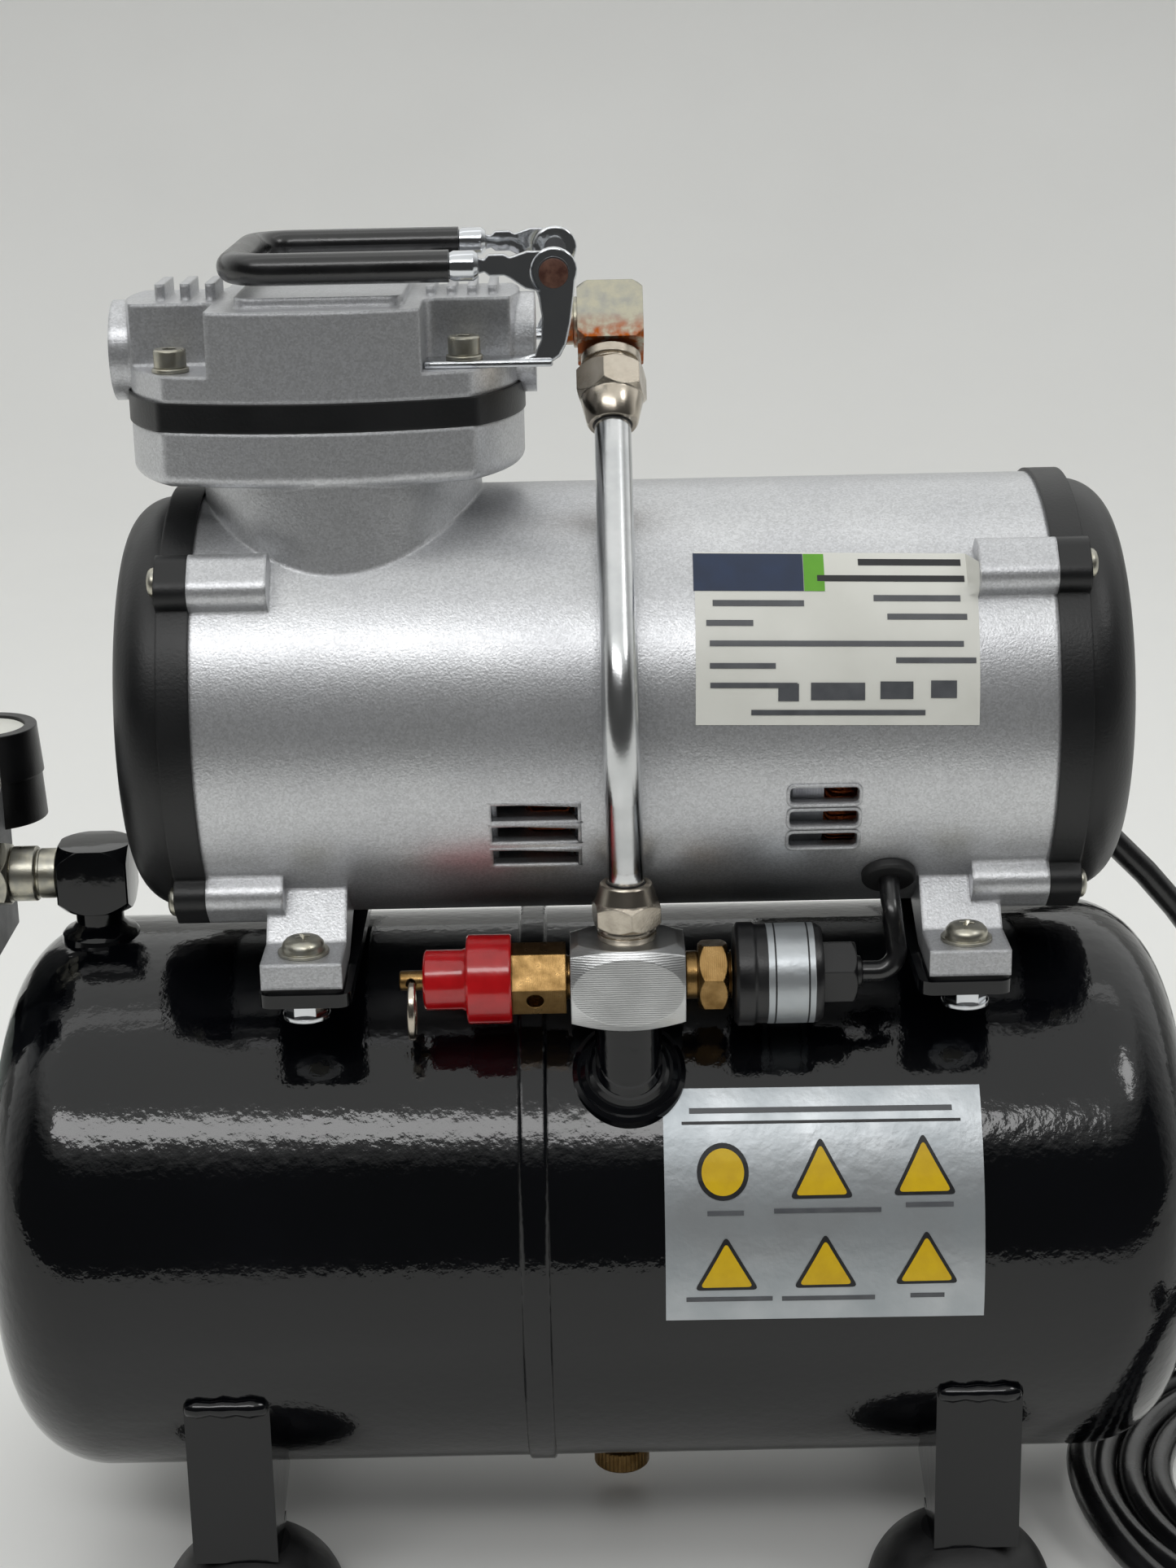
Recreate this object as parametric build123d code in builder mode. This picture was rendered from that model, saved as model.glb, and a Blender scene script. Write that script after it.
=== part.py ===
"""Airbrush compressor: piston pump and motor on a small air tank. Millimetres, +Z up."""
import os
from math import cos, sin, radians, sqrt, tan
from build123d import *

os.makedirs("parts", exist_ok=True)

# ---- driving sizes: tank and feet
tank_r = 65.75
tank_length = 282.0
tank_x = 24.0
tank_z = 84.25
tank_wall = 2.0
tank_dish = 9.0
tank_knuckle = 22.0
bead_x = 11.2
leg_x = 25.5
leg_spacing = 170.0
leg_width = 19.4
leg_plate = 2.2
leg_front_y = 60.0
foot_x = 25.5
foot_spacing = 165.0
foot_y = 51.0
foot_r = 21.5
foot_height = 17.0

# ---- driving sizes: motor
motor_z = 206.0
motor_r = 48.8
motor_wall = 3.8
motor_left = -59.5
motor_right = 126.0
rim_thickness = 7.0
rim_r = 49.6
cover_depth = 11.5
lobe_screw_r = 51.0
mount_x = 34.5
mount_spacing = 144.4
mount_width = 17.6
saddle_x = 34.3
saddle_spacing = 143.0
saddle_width = 20.0
mount_screw_y = 49.0
pad_top_z = 162.0
saddle_top_z = 155.25
shaft_r = 5.0
running_gap = 0.05
crank_throw = 6.0
stator_x = 49.0
stator_length = 54.0
air_gap = 0.4
rotor_r = motor_r - 23.2

# ---- driving sizes: pump
pump_x = -31.0
neck_x = -28.4
neck_half_width = 31.0
neck_half_depth = 33.0
flange_bottom_z = 261.0
flange_top_z = 273.0
plate_top_z = 279.3
shelf_z = 285.0
head_top_z = 298.5
head_r = 43.5
head_flat_y = 33.6
head_bow_r = 100.0
bore_r = 24.0
liner_wall = 2.0
piston_gap = 0.07
piston_crown_z = 260.5
rod_length = 38.0
head_screw_x = 31.5
head_screw_y = 22.0

# ---- driving sizes: handle
pivot_x = 20.0
pivot_z = 305.0
grip_z = 306.6
grip_r = 3.4
grip_y = 26.0
grip_left_x = -52.0
grip_right_x = -2.0
bracket_plate = 1.5

# ---- driving sizes: air line, valve and switch
line_x = 32.0
line_y = 46.0
tee_x = 32.8
tee_width = 25.0
tee_depth = 20.5
tee_bottom_z = 144.5
tee_top_z = 163.0
port_z = 153.8
outlet_tilt = 40.0
tube_r = 4.0
hex_af = 14.0
stem_r = 2.2
ring_r = 6.6
ring_wire_r = 0.65

# ---- driving sizes: tank outlet, regulator and gauge
tank_left = tank_x - tank_length / 2
outlet_x = tank_left + 26.2
outlet_z = 165.0
regulator_x = tank_left - 17.0
regulator_face_x = tank_left + 1.0
bowl_r = 13.5
knob_x = tank_left - 1.5
knob_y = 20.8
knob_r = 12.2
knob_shaft_r = 2.4
gauge_r = 19.5
gauge_z = 172.0
thread_r = 4.86
air_bore_r = 2.6

# ---- driving sizes: power cord
cord_r = 3.4
coil_x = 212.0
coil_y = -18.0
coil_outer_r = 74.0
coil_inner_r = 43.0
coil_height = 16.0

mount_xs = [mount_x - mount_spacing / 2, mount_x + mount_spacing / 2]
saddle_xs = [saddle_x - saddle_spacing / 2, saddle_x + saddle_spacing / 2]
leg_xs = [leg_x - leg_spacing / 2, leg_x + leg_spacing / 2]
foot_xs = [foot_x - foot_spacing / 2, foot_x + foot_spacing / 2]
lobe_angles = [45, 135, 225, 315]
motor_axis = Axis((0, 0, motor_z), (1, 0, 0))
tank_axis = Axis((tank_x, 0, tank_z), (1, 0, 0))


def level(x, y, z):
    """Plane at a point, facing up."""
    return Plane(origin=(x, y, z))


def right_of(x, y, z):
    """Plane at a point, facing +X; its own x runs along +Y."""
    return Plane(origin=(x, y, z), x_dir=(0, 1, 0), z_dir=(1, 0, 0))


def front_of(x, y, z):
    """Plane at a point, facing -Y; its own x runs along +X."""
    return Plane(origin=(x, y, z), x_dir=(1, 0, 0), z_dir=(0, -1, 0))


def disc(plane, radius, depth, mode=Mode.ADD):
    with BuildSketch(plane) as profile:
        Circle(radius)
    extrude(profile.sketch, amount=depth, mode=mode)


def ring(plane, outer, inner, depth, mode=Mode.ADD):
    with BuildSketch(plane) as profile:
        Circle(outer)
        Circle(inner, mode=Mode.SUBTRACT)
    extrude(profile.sketch, amount=depth, mode=mode)


def block(plane, width, height, depth, corner=0.0, mode=Mode.ADD):
    with BuildSketch(plane) as profile:
        if corner > 0:
            RectangleRounded(width, height, corner)
        else:
            Rectangle(width, height)
    extrude(profile.sketch, amount=depth, mode=mode)


def hexagon(plane, across_flats, depth, turn=0.0, mode=Mode.ADD):
    """Hexagonal bar."""
    with BuildSketch(plane) as profile:
        RegularPolygon(across_flats / 2, 6, major_radius=False, rotation=turn)
    extrude(profile.sketch, amount=depth, mode=mode)


def cone(plane, bottom, top, depth, mode=Mode.ADD):
    with BuildSketch(plane) as low:
        Circle(bottom)
    with BuildSketch(plane.offset(depth)) as high:
        Circle(top)
    loft([low.sketch.face(), high.sketch.face()], mode=mode)


def finish_node(builder, name):
    builder.part.label = name
    export_step(builder.part, "parts/" + name + ".step")
    print(name, round(builder.part.volume, 1), len(builder.part.solids()))


# ---- tank shell
def tank_profile(half_length, radius, knuckle):
    crown = (radius ** 2 + tank_dish ** 2) / (2 * tank_dish)
    mid = half_length - (crown - sqrt(crown ** 2 - (radius / 2) ** 2))
    rim = half_length - tank_dish
    with BuildLine() as outline:
        Line((-half_length, 0), (half_length, 0))
        ThreePointArc((half_length, 0), (mid, radius / 2), (rim, radius))
        Line((rim, radius), (-rim, radius))
        ThreePointArc((-rim, radius), (-mid, radius / 2), (-half_length, 0))
    make_face(outline.edges())
    fillet(vertices().group_by(Axis.Y)[-1], radius=knuckle)


boss_top_z = tee_bottom_z
boss_low_z = 127.0
outlet_boss_z = 151.0
drain_boss_z = 15.5
drain_x = 30.0
with BuildPart() as tank_shell:
    with BuildSketch(front_of(tank_x, 0, tank_z)):
        tank_profile(tank_length / 2, tank_r, tank_knuckle)
    revolve(axis=tank_axis)
    with BuildSketch(front_of(bead_x, 0, tank_z + tank_r)):
        RectangleRounded(6.4, 1.8, 0.8)
    revolve(axis=tank_axis)
    disc(level(tee_x, -line_y, boss_low_z), 7.4, boss_top_z - boss_low_z)
    disc(level(outlet_x, 0, tank_z), 8.5, outlet_boss_z - tank_z)
    disc(level(drain_x, 0, drain_boss_z), 8.0, tank_z - drain_boss_z)
    with BuildSketch(front_of(tank_x, 0, tank_z)):
        tank_profile(tank_length / 2 - tank_wall, tank_r - tank_wall, tank_knuckle - tank_wall)
    revolve(axis=tank_axis, mode=Mode.SUBTRACT)
    disc(level(tee_x, -line_y, tank_z), 3.0, tank_r, mode=Mode.SUBTRACT)
    disc(level(outlet_x, 0, tank_z), 4.2, tank_r + 5, mode=Mode.SUBTRACT)
    disc(level(drain_x, 0, drain_boss_z), 3.0, tank_z - drain_boss_z, mode=Mode.SUBTRACT)
finish_node(tank_shell, "tank_shell")


# ---- welded legs, front and back at each end
def leg(x_mid, inward, front):
    """One bracket: face plate, tapering inner web and foot plate. inward and front are +1 or -1."""
    face_y = front * leg_front_y
    web_x = x_mid + inward * (leg_width / 2 - leg_plate / 2)
    block(level(x_mid, face_y - front * leg_plate / 2, foot_height), leg_width, leg_plate, 45)
    block(level(x_mid, face_y - front * 9, foot_height), leg_width, 18, leg_plate)
    with BuildSketch(right_of(web_x - leg_plate / 2, 0, 0)) as web:
        with BuildLine():
            Polyline((face_y, foot_height), (face_y - front * 6, foot_height),
                     (face_y - front * 30, 25), (face_y - front * 30, 40), (face_y, 62), close=True)
        make_face()
    extrude(web.sketch, amount=leg_plate)


with BuildPart() as tank_legs:
    for x_mid, inward in zip(leg_xs, (1, -1)):
        for front in (-1, 1):
            leg(x_mid, inward, front)
    disc(right_of(tank_x - 120, 0, tank_z), tank_r, 240, mode=Mode.SUBTRACT)
finish_node(tank_legs, "tank_legs")

# ---- rubber suction feet
lip_width = 3.0
with BuildPart() as suction_feet:
    for x_mid in foot_xs:
        for y_mid in (-foot_y, foot_y):
            with BuildSketch(front_of(x_mid, y_mid, 0)):
                with BuildLine():
                    Line((foot_r, 0), (foot_r, 1.6))
                    ThreePointArc((foot_r, 1.6), (17.5, 11.2), (9.0, foot_height))
                    Line((9.0, foot_height), (0, foot_height))
                    Line((0, foot_height), (0, 7.0))
                    ThreePointArc((0, 7.0), (11.0, 4.6), (foot_r - lip_width, 0))
                    Line((foot_r - lip_width, 0), (foot_r, 0))
                make_face()
            revolve(axis=Axis((x_mid, y_mid, 0), (0, 0, 1)))
finish_node(suction_feet, "suction_feet")

# ---- drain cock and its knurled knob
knob_bottom_z = 5.6
with BuildPart() as drain_body:
    disc(level(drain_x, 0, 11.5), 5.2, drain_boss_z - 11.5)
    disc(level(drain_x, 0, drain_boss_z), 2.95, 8)
finish_node(drain_body, "drain_body")

with BuildPart() as drain_knob:
    disc(level(drain_x, 0, knob_bottom_z), 6.9, 5.5)
    chamfer(drain_knob.edges().filter_by(GeomType.CIRCLE), 0.5)
    with BuildSketch(level(drain_x, 0, knob_bottom_z)):
        with PolarLocations(7.0, 36):
            Circle(0.28)
    extrude(amount=5.5, mode=Mode.SUBTRACT)
finish_node(drain_knob, "drain_knob")

# ---- saddle plates welded on top of the tank
saddle_thickness = 3.0
with BuildPart() as saddle_plates:
    for x_mid in saddle_xs:
        block(level(x_mid, 0, saddle_top_z - saddle_thickness), saddle_width, 115, saddle_thickness, 3)
        block(level(x_mid, 0, 140), 16, 26, saddle_top_z - saddle_thickness - 140)
    for x_mid in mount_xs:
        for y_mid in (-mount_screw_y, mount_screw_y):
            disc(level(x_mid, y_mid, 150), 2.7, 8, mode=Mode.SUBTRACT)
    disc(right_of(-100, 0, tank_z), tank_r, 260, mode=Mode.SUBTRACT)
finish_node(saddle_plates, "saddle_plates")

pad_thickness = 1.0
with BuildPart() as isolation_pads:
    for x_mid in mount_xs:
        for y_mid in (-mount_screw_y, mount_screw_y):
            block(level(x_mid, y_mid, saddle_top_z), mount_width, 14.5, pad_thickness, 2)
            disc(level(x_mid, y_mid, saddle_top_z), 2.7, pad_thickness, mode=Mode.SUBTRACT)
finish_node(isolation_pads, "isolation_pads")

# ---- motor housing with the pump neck
inner_r = motor_r - motor_wall
pad_bottom_z = saddle_top_z + pad_thickness
vent_rows_left = [192.0, 186.6, 180.3]
vent_rows_right = [195.0, 189.3, 183.6]
grommet_x = 91.0
grommet_angle = 42.0
grommet_r = 6.0


def head_outline(radius):
    """Round outline with a shallow bow cut off at the front and at the back."""
    Circle(radius)
    with Locations((0, head_bow_r - head_flat_y)):
        Circle(head_bow_r, mode=Mode.INTERSECT)
    with Locations((0, head_flat_y - head_bow_r)):
        Circle(head_bow_r, mode=Mode.INTERSECT)
    fillet(vertices(), radius=3)


def radial_plane(x, angle, radius):
    """Plane on the motor's lower front, facing outward; angle is measured below the horizontal."""
    out = (0, -cos(radians(angle)), -sin(radians(angle)))
    return Plane(origin=(x, radius * out[1], motor_z + radius * out[2]), x_dir=(1, 0, 0), z_dir=out)


with BuildPart() as motor_housing:
    with BuildSketch(level(pump_x, 0, flange_bottom_z)):
        head_outline(head_r)
    extrude(amount=flange_top_z - flange_bottom_z)
    fillet(motor_housing.faces().sort_by(Axis.Z)[0].edges(), 2.5)
    disc(right_of(motor_left, 0, motor_z), motor_r, motor_right - motor_left)
    for end_x, inward in ((motor_left, 1), (motor_right, -1)):
        for angle in lobe_angles:
            spoke = Plane(origin=(end_x, 0, motor_z), x_dir=(0, cos(radians(angle)), sin(radians(angle))),
                          z_dir=(inward, 0, 0))
            with BuildSketch(spoke):
                with Locations((lobe_screw_r - 2.5, 0)):
                    RectangleRounded(13, 12.5, 4)
            extrude(amount=17)
    for x_mid in mount_xs:
        for side in (-1, 1):
            with BuildSketch(right_of(x_mid - mount_width / 2, 0, 0)):
                with BuildLine():
                    Polyline((side * 56.5, pad_bottom_z), (side * 56.5, pad_top_z), (side * 43, pad_top_z),
                             (side * 34, 173), (side * 20, 173), (side * 20, 163),
                             (side * 36, pad_bottom_z), close=True)
                make_face()
            extrude(amount=mount_width)
    with BuildSketch(level(neck_x, 0, motor_z)):
        Ellipse(neck_half_width, neck_half_depth)
    extrude(amount=flange_bottom_z + 3 - motor_z)
    disc(right_of(motor_left, 0, motor_z), inner_r, motor_right - motor_left, mode=Mode.SUBTRACT)
    disc(level(pump_x, 0, motor_z), bore_r + liner_wall, flange_top_z - motor_z, mode=Mode.SUBTRACT)
    for x_mid in mount_xs:
        for y_mid in (-mount_screw_y, mount_screw_y):
            disc(level(x_mid, y_mid, 150), 2.6, 15, mode=Mode.SUBTRACT)
    for z_mid in vent_rows_left:
        block(front_of(13.3, -30, z_mid), 18.7, 4.0, 25, mode=Mode.SUBTRACT)
    for z_mid in vent_rows_right:
        block(front_of(75.8, -30, z_mid), 14.9, 3.9, 25, 1.2, mode=Mode.SUBTRACT)
    disc(radial_plane(grommet_x, grommet_angle, inner_r - 3), grommet_r - 1.5, 10, mode=Mode.SUBTRACT)
    for end_x in (motor_left, motor_right - 12):
        for angle in lobe_angles:
            y_mid = lobe_screw_r * cos(radians(angle))
            z_mid = motor_z + lobe_screw_r * sin(radians(angle))
            disc(right_of(end_x, y_mid, z_mid), 1.6, 12, mode=Mode.SUBTRACT)
    for x_off in (-head_screw_x, head_screw_x):
        for y_off in (-head_screw_y, head_screw_y):
            disc(level(pump_x + x_off, y_off, 262), 2.05, 12, mode=Mode.SUBTRACT)
finish_node(motor_housing, "motor_housing")


# ---- end rims, covers and their screws
def lobed_outline(radius):
    Circle(radius)
    for angle in lobe_angles:
        with PolarLocations(lobe_screw_r - 3.5, 1, start_angle=angle):
            RectangleRounded(15, 12.5, 4)


bearing_r = 11.0
with BuildPart() as end_rims:
    for rim_x in (motor_left - rim_thickness, motor_right):
        with BuildSketch(right_of(rim_x, 0, motor_z)):
            lobed_outline(rim_r)
        extrude(amount=rim_thickness)
        disc(right_of(rim_x, 0, motor_z), bearing_r, rim_thickness, mode=Mode.SUBTRACT)
        for angle in lobe_angles:
            y_mid = lobe_screw_r * cos(radians(angle))
            z_mid = motor_z + lobe_screw_r * sin(radians(angle))
            disc(right_of(rim_x, y_mid, z_mid), 1.8, rim_thickness, mode=Mode.SUBTRACT)
finish_node(end_rims, "end_rims")


def end_cover(face_x, outward):
    """Domed cap on the rim, hollow inside."""
    base_r = 47.2
    dome_r = 34.0
    centre_r = 3.0
    wall = 2.2
    shoulder_x = outward * cover_depth * 0.92
    with BuildPart() as cover:
        with BuildSketch(front_of(face_x, 0, motor_z)):
            with BuildLine():
                ThreePointArc((0, base_r), (outward * cover_depth * 0.72, base_r * 0.93), (shoulder_x, dome_r))
                ThreePointArc((shoulder_x, dome_r), (outward * cover_depth * 0.985, dome_r / 2),
                              (outward * cover_depth, centre_r))
                Polyline((outward * cover_depth, centre_r), (outward * cover_depth, 0),
                         (outward * (cover_depth - wall), 0), (shoulder_x - outward * wall, dome_r - 2),
                         (0, base_r - 3), (0, base_r))
            make_face()
        revolve(axis=motor_axis)
    return cover


end_cover_left = end_cover(motor_left - rim_thickness, -1)
finish_node(end_cover_left, "end_cover_left")
end_cover_right = end_cover(motor_right + rim_thickness, 1)
finish_node(end_cover_right, "end_cover_right")

cover_screw_length = 17.0
with BuildPart() as cover_screws:
    for face_x, outward in ((motor_left - rim_thickness, -1), (motor_right + rim_thickness, 1)):
        for angle in lobe_angles:
            y_mid = lobe_screw_r * cos(radians(angle))
            z_mid = motor_z + lobe_screw_r * sin(radians(angle))
            outer = Plane(origin=(face_x, y_mid, z_mid), x_dir=(0, 1, 0), z_dir=(outward, 0, 0))
            cone(outer, 3.3, 2.3, 1.5)
            disc(outer, 1.5, -cover_screw_length)
finish_node(cover_screws, "cover_screws")

# ---- motor mounting screws and nuts
screw_end_z = 146.0
with BuildPart() as mount_screws:
    for x_mid in mount_xs:
        for y_mid in (-mount_screw_y, mount_screw_y):
            disc(level(x_mid, y_mid, pad_top_z), 5.6, 0.8)
            cone(level(x_mid, y_mid, pad_top_z + 0.8), 4.7, 3.0, 2.6)
            disc(level(x_mid, y_mid, screw_end_z), 2.5, pad_top_z - screw_end_z)
finish_node(mount_screws, "mount_screws")

nut_top_z = saddle_top_z - saddle_thickness
with BuildPart() as mount_nuts:
    for x_mid in mount_xs:
        for y_mid in (-mount_screw_y, mount_screw_y):
            hexagon(level(x_mid, y_mid, nut_top_z - 4.0), 8.0, 4.0)
            disc(level(x_mid, y_mid, nut_top_z - 4.9), 5.2, 0.9)
            disc(level(x_mid, y_mid, nut_top_z - 5), 2.5, 5, mode=Mode.SUBTRACT)
finish_node(mount_nuts, "mount_nuts")

# ---- motor inside: stator, windings, bearing bracket, bearings
stator_left = stator_x - stator_length / 2
stator_right = stator_x + stator_length / 2
winding_width = 11.0
with BuildPart() as stator_core:
    ring(right_of(stator_left, 0, motor_z), inner_r, rotor_r + air_gap, stator_length)
finish_node(stator_core, "stator_core")

with BuildPart() as stator_windings:
    ring(right_of(stator_left - winding_width, 0, motor_z), inner_r - 4, rotor_r + 3.4, winding_width)
    ring(right_of(stator_right, 0, motor_z), inner_r - 4, rotor_r + 3.4, winding_width)
    fillet(stator_windings.edges().filter_by(GeomType.CIRCLE), 2.5)
finish_node(stator_windings, "stator_windings")

bracket_left = -3.0
bracket_width = 8.0
with BuildPart() as bearing_bracket:
    ring(right_of(bracket_left, 0, motor_z), inner_r, bearing_r, bracket_width)
    ring(right_of(bracket_left + 3, 0, motor_z), inner_r - 5, 16, bracket_width - 3, mode=Mode.SUBTRACT)
finish_node(bearing_bracket, "bearing_bracket")

with BuildPart() as shaft_bearings:
    ring(right_of(bracket_left, 0, motor_z), bearing_r, shaft_r + running_gap, bracket_width)
    ring(right_of(motor_right, 0, motor_z), bearing_r, shaft_r + running_gap, rim_thickness)
finish_node(shaft_bearings, "shaft_bearings")

# ---- rotor: shaft, core, fan, crank
web_right = -20.0
shaft_right = motor_right + rim_thickness + 1.0
with BuildPart() as motor_shaft:
    disc(right_of(web_right, 0, motor_z), shaft_r, shaft_right - web_right)
finish_node(motor_shaft, "motor_shaft")

with BuildPart() as rotor_core:
    ring(right_of(stator_left, 0, motor_z), rotor_r, shaft_r, stator_length)
finish_node(rotor_core, "rotor_core")

fan_left = 98.0
fan_width = 13.0
fan_r = inner_r - 7
fan_hub_r = 11.0
blade_inner_r = fan_hub_r - 2
blade_outer_r = fan_r - 1
with BuildPart() as cooling_fan:
    disc(right_of(fan_left, 0, motor_z), fan_r, 2)
    disc(right_of(fan_left, 0, motor_z), fan_hub_r, fan_width)
    for step in range(10):
        spoke = Plane(origin=(fan_left + 2, 0, motor_z),
                      x_dir=(0, cos(radians(36 * step)), sin(radians(36 * step))), z_dir=(1, 0, 0))
        with BuildSketch(spoke):
            with Locations(((blade_inner_r + blade_outer_r) / 2, 0)):
                Rectangle(blade_outer_r - blade_inner_r, 2)
        extrude(amount=fan_width - 2)
    disc(right_of(fan_left, 0, motor_z), shaft_r, fan_width, mode=Mode.SUBTRACT)
finish_node(cooling_fan, "cooling_fan")

web_width = 5.0
pin_r = 4.0
crank_z = motor_z - crank_throw
rod_half = 5.5
with BuildPart() as crank_web:
    disc(right_of(web_right - web_width, 0, motor_z), 13, web_width)
    disc(right_of(pump_x - rod_half - 1, 0, crank_z), pin_r, web_right - web_width - pump_x + rod_half + 1)
finish_node(crank_web, "crank_web")

# ---- connecting rod, wrist pin, piston, liner
small_end_z = crank_z + rod_length
with BuildPart() as connecting_rod:
    disc(right_of(pump_x - 4.5, 0, crank_z), 9, 9)
    disc(right_of(pump_x - 4.5, 0, small_end_z), 6, 9)
    block(right_of(pump_x - 2.5, 0, crank_z + rod_length / 2), 8, rod_length - 8, 5)
    disc(right_of(pump_x - 4.5, 0, crank_z), pin_r + running_gap, 9, mode=Mode.SUBTRACT)
    disc(right_of(pump_x - 4.5, 0, small_end_z), 3, 9, mode=Mode.SUBTRACT)
finish_node(connecting_rod, "connecting_rod")

with BuildPart() as wrist_pin:
    disc(right_of(pump_x - 15, 0, small_end_z), 3, 30)
finish_node(wrist_pin, "wrist_pin")

piston_bottom_z = 236.5
with BuildPart() as piston:
    disc(level(pump_x, 0, piston_bottom_z), bore_r - piston_gap, piston_crown_z - piston_bottom_z)
    disc(level(pump_x, 0, piston_bottom_z), 19.5, piston_crown_z - 4 - piston_bottom_z, mode=Mode.SUBTRACT)
finish_node(piston, "piston")

with BuildPart() as cylinder_liner:
    ring(level(pump_x, 0, 236), bore_r + liner_wall, bore_r, flange_top_z - 236)
finish_node(cylinder_liner, "cylinder_liner")

# ---- valve plate, cylinder head
with BuildPart() as valve_plate:
    with BuildSketch(level(pump_x, 0, flange_top_z)):
        head_outline(head_r + 0.4)
        with Locations((-9, 0), (9, 0)):
            Circle(2.5, mode=Mode.SUBTRACT)
        with GridLocations(2 * head_screw_x, 2 * head_screw_y, 2, 2):
            Circle(2.05, mode=Mode.SUBTRACT)
    extrude(amount=plate_top_z - flange_top_z)
finish_node(valve_plate, "valve_plate")

boss_left_x = -77.5
boss_right_x = 15.5
boss_r = 11.0
boss_z = 287.0
with BuildPart() as cylinder_head:
    with BuildSketch(level(pump_x, 0, plate_top_z)):
        head_outline(head_r - 0.3)
    extrude(amount=head_top_z - plate_top_z)
    for x_side in (-1, 1):
        for y_side in (-1, 1):
            corner = level(pump_x + x_side * 42.7, y_side * 33, shelf_z)
            block(corner, 40, 40, 30, 3, mode=Mode.SUBTRACT)
    disc(right_of(boss_left_x, 0, boss_z), boss_r, boss_right_x - boss_left_x)
    with BuildSketch(level(pump_x, 0, flange_top_z)):
        head_outline(head_r + 0.4)
    extrude(amount=plate_top_z - flange_top_z, mode=Mode.SUBTRACT)
    block(level(pump_x + 1, 0, head_top_z - 1), 36, 52, 3.2, 3)
    for x_fin in (-66, -60.5, -55):
        block(level(x_fin, 0, head_top_z - 3), 2.2, 16, 6.5, 1)
    for x_fin in (-7, -2.5, 2, 6.5):
        block(level(x_fin, 0, head_top_z - 3), 2.0, 18, 5.0, 0.9)
    block(level(pump_x, 0, plate_top_z), 44, 22, 12, 4, mode=Mode.SUBTRACT)
    disc(right_of(pump_x, 0, boss_z), 4.0, 60, mode=Mode.SUBTRACT)
    disc(right_of(pump_x, 0, boss_z), 5.0, -60, mode=Mode.SUBTRACT)
    for x_off in (-head_screw_x, head_screw_x):
        for y_off in (-head_screw_y, head_screw_y):
            disc(level(pump_x + x_off, y_off, plate_top_z), 2.05, 12, mode=Mode.SUBTRACT)
finish_node(cylinder_head, "cylinder_head")

with BuildPart() as head_screws:
    for x_off, seat_z in ((-head_screw_x, shelf_z), (head_screw_x, shelf_z + bracket_plate)):
        for y_off in (-head_screw_y, head_screw_y):
            disc(level(pump_x + x_off, y_off, seat_z), 3.9, 1.0)
            disc(level(pump_x + x_off, y_off, seat_z + 1), 3.5, 4.0)
            disc(level(pump_x + x_off, y_off, 264), 1.95, seat_z - 264)
            hexagon(level(pump_x + x_off, y_off, seat_z + 2.6), 3.0, 3.0, mode=Mode.SUBTRACT)
finish_node(head_screws, "head_screws")

# ---- handle: brackets, rivets, arms, grip
plate_y = grip_y - 2.9
rivet_r = 2.5
with BuildPart() as handle_brackets:
    for side in (-1, 1):
        with BuildSketch(level(0, 0, shelf_z)):
            with Locations((6.0, side * (plate_y - 1.5))):
                RectangleRounded(28, 9, 2)
        extrude(amount=bracket_plate)
        low_y = side * plate_y
        with BuildSketch(front_of(0, low_y if side < 0 else low_y + bracket_plate, 0)):
            with BuildLine():
                Polyline((13, shelf_z), (20, shelf_z), (25, pivot_z), (15, pivot_z), close=True)
            make_face()
            with Locations((pivot_x, pivot_z)):
                Circle(5)
            with Locations((pivot_x, pivot_z)):
                Circle(rivet_r, mode=Mode.SUBTRACT)
        extrude(amount=bracket_plate)
        disc(level(pump_x + head_screw_x, side * head_screw_y, shelf_z), 2.1, 3, mode=Mode.SUBTRACT)
finish_node(handle_brackets, "handle_brackets")

side_gap = 0.3
arm_plate = 1.8
arm_in_y = plate_y + bracket_plate + side_gap
with BuildPart() as pivot_rivets:
    for side in (-1, 1):
        outward = Plane(origin=(pivot_x, side * (plate_y - 1), pivot_z), x_dir=(1, 0, 0), z_dir=(0, side, 0))
        disc(outward, rivet_r, arm_in_y + arm_plate + side_gap - plate_y + 2)
        disc(outward.offset(arm_in_y + arm_plate + side_gap - plate_y + 1), 3.3, 1.2)
finish_node(pivot_rivets, "pivot_rivets")

with BuildPart() as handle_arms:
    for side in (-1, 1):
        near_y = -arm_in_y if side < 0 else arm_in_y + arm_plate
        with BuildSketch(front_of(0, near_y, 0)):
            with BuildLine():
                Polyline((pivot_x, pivot_z - 5.0), (pivot_x, pivot_z + 5.0), (8, grip_z + 2.6), (-2, grip_z + 2.6),
                         (-2, grip_z - 2.6), (8, grip_z - 2.6), close=True)
            make_face()
            with Locations((pivot_x, pivot_z)):
                Circle(5)
            with Locations((pivot_x, pivot_z)):
                Circle(rivet_r + running_gap, mode=Mode.SUBTRACT)
        extrude(amount=arm_plate)
        disc(right_of(-14, side * grip_y, grip_z), 2.6, 18)
finish_node(handle_arms, "handle_arms")

with BuildPart() as handle_grip:
    with BuildLine():
        FilletPolyline((grip_right_x, -grip_y, grip_z), (grip_left_x + grip_r, -grip_y, grip_z),
                       (grip_left_x + grip_r, grip_y, grip_z), (grip_right_x, grip_y, grip_z), radius=9)
    with BuildSketch(Plane(origin=(grip_right_x, -grip_y, grip_z), x_dir=(0, 1, 0), z_dir=(-1, 0, 0))):
        Circle(grip_r)
    sweep()
    for side in (-1, 1):
        disc(right_of(-14, side * grip_y, grip_z), 2.6, 12, mode=Mode.SUBTRACT)
finish_node(handle_grip, "handle_grip")

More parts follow.
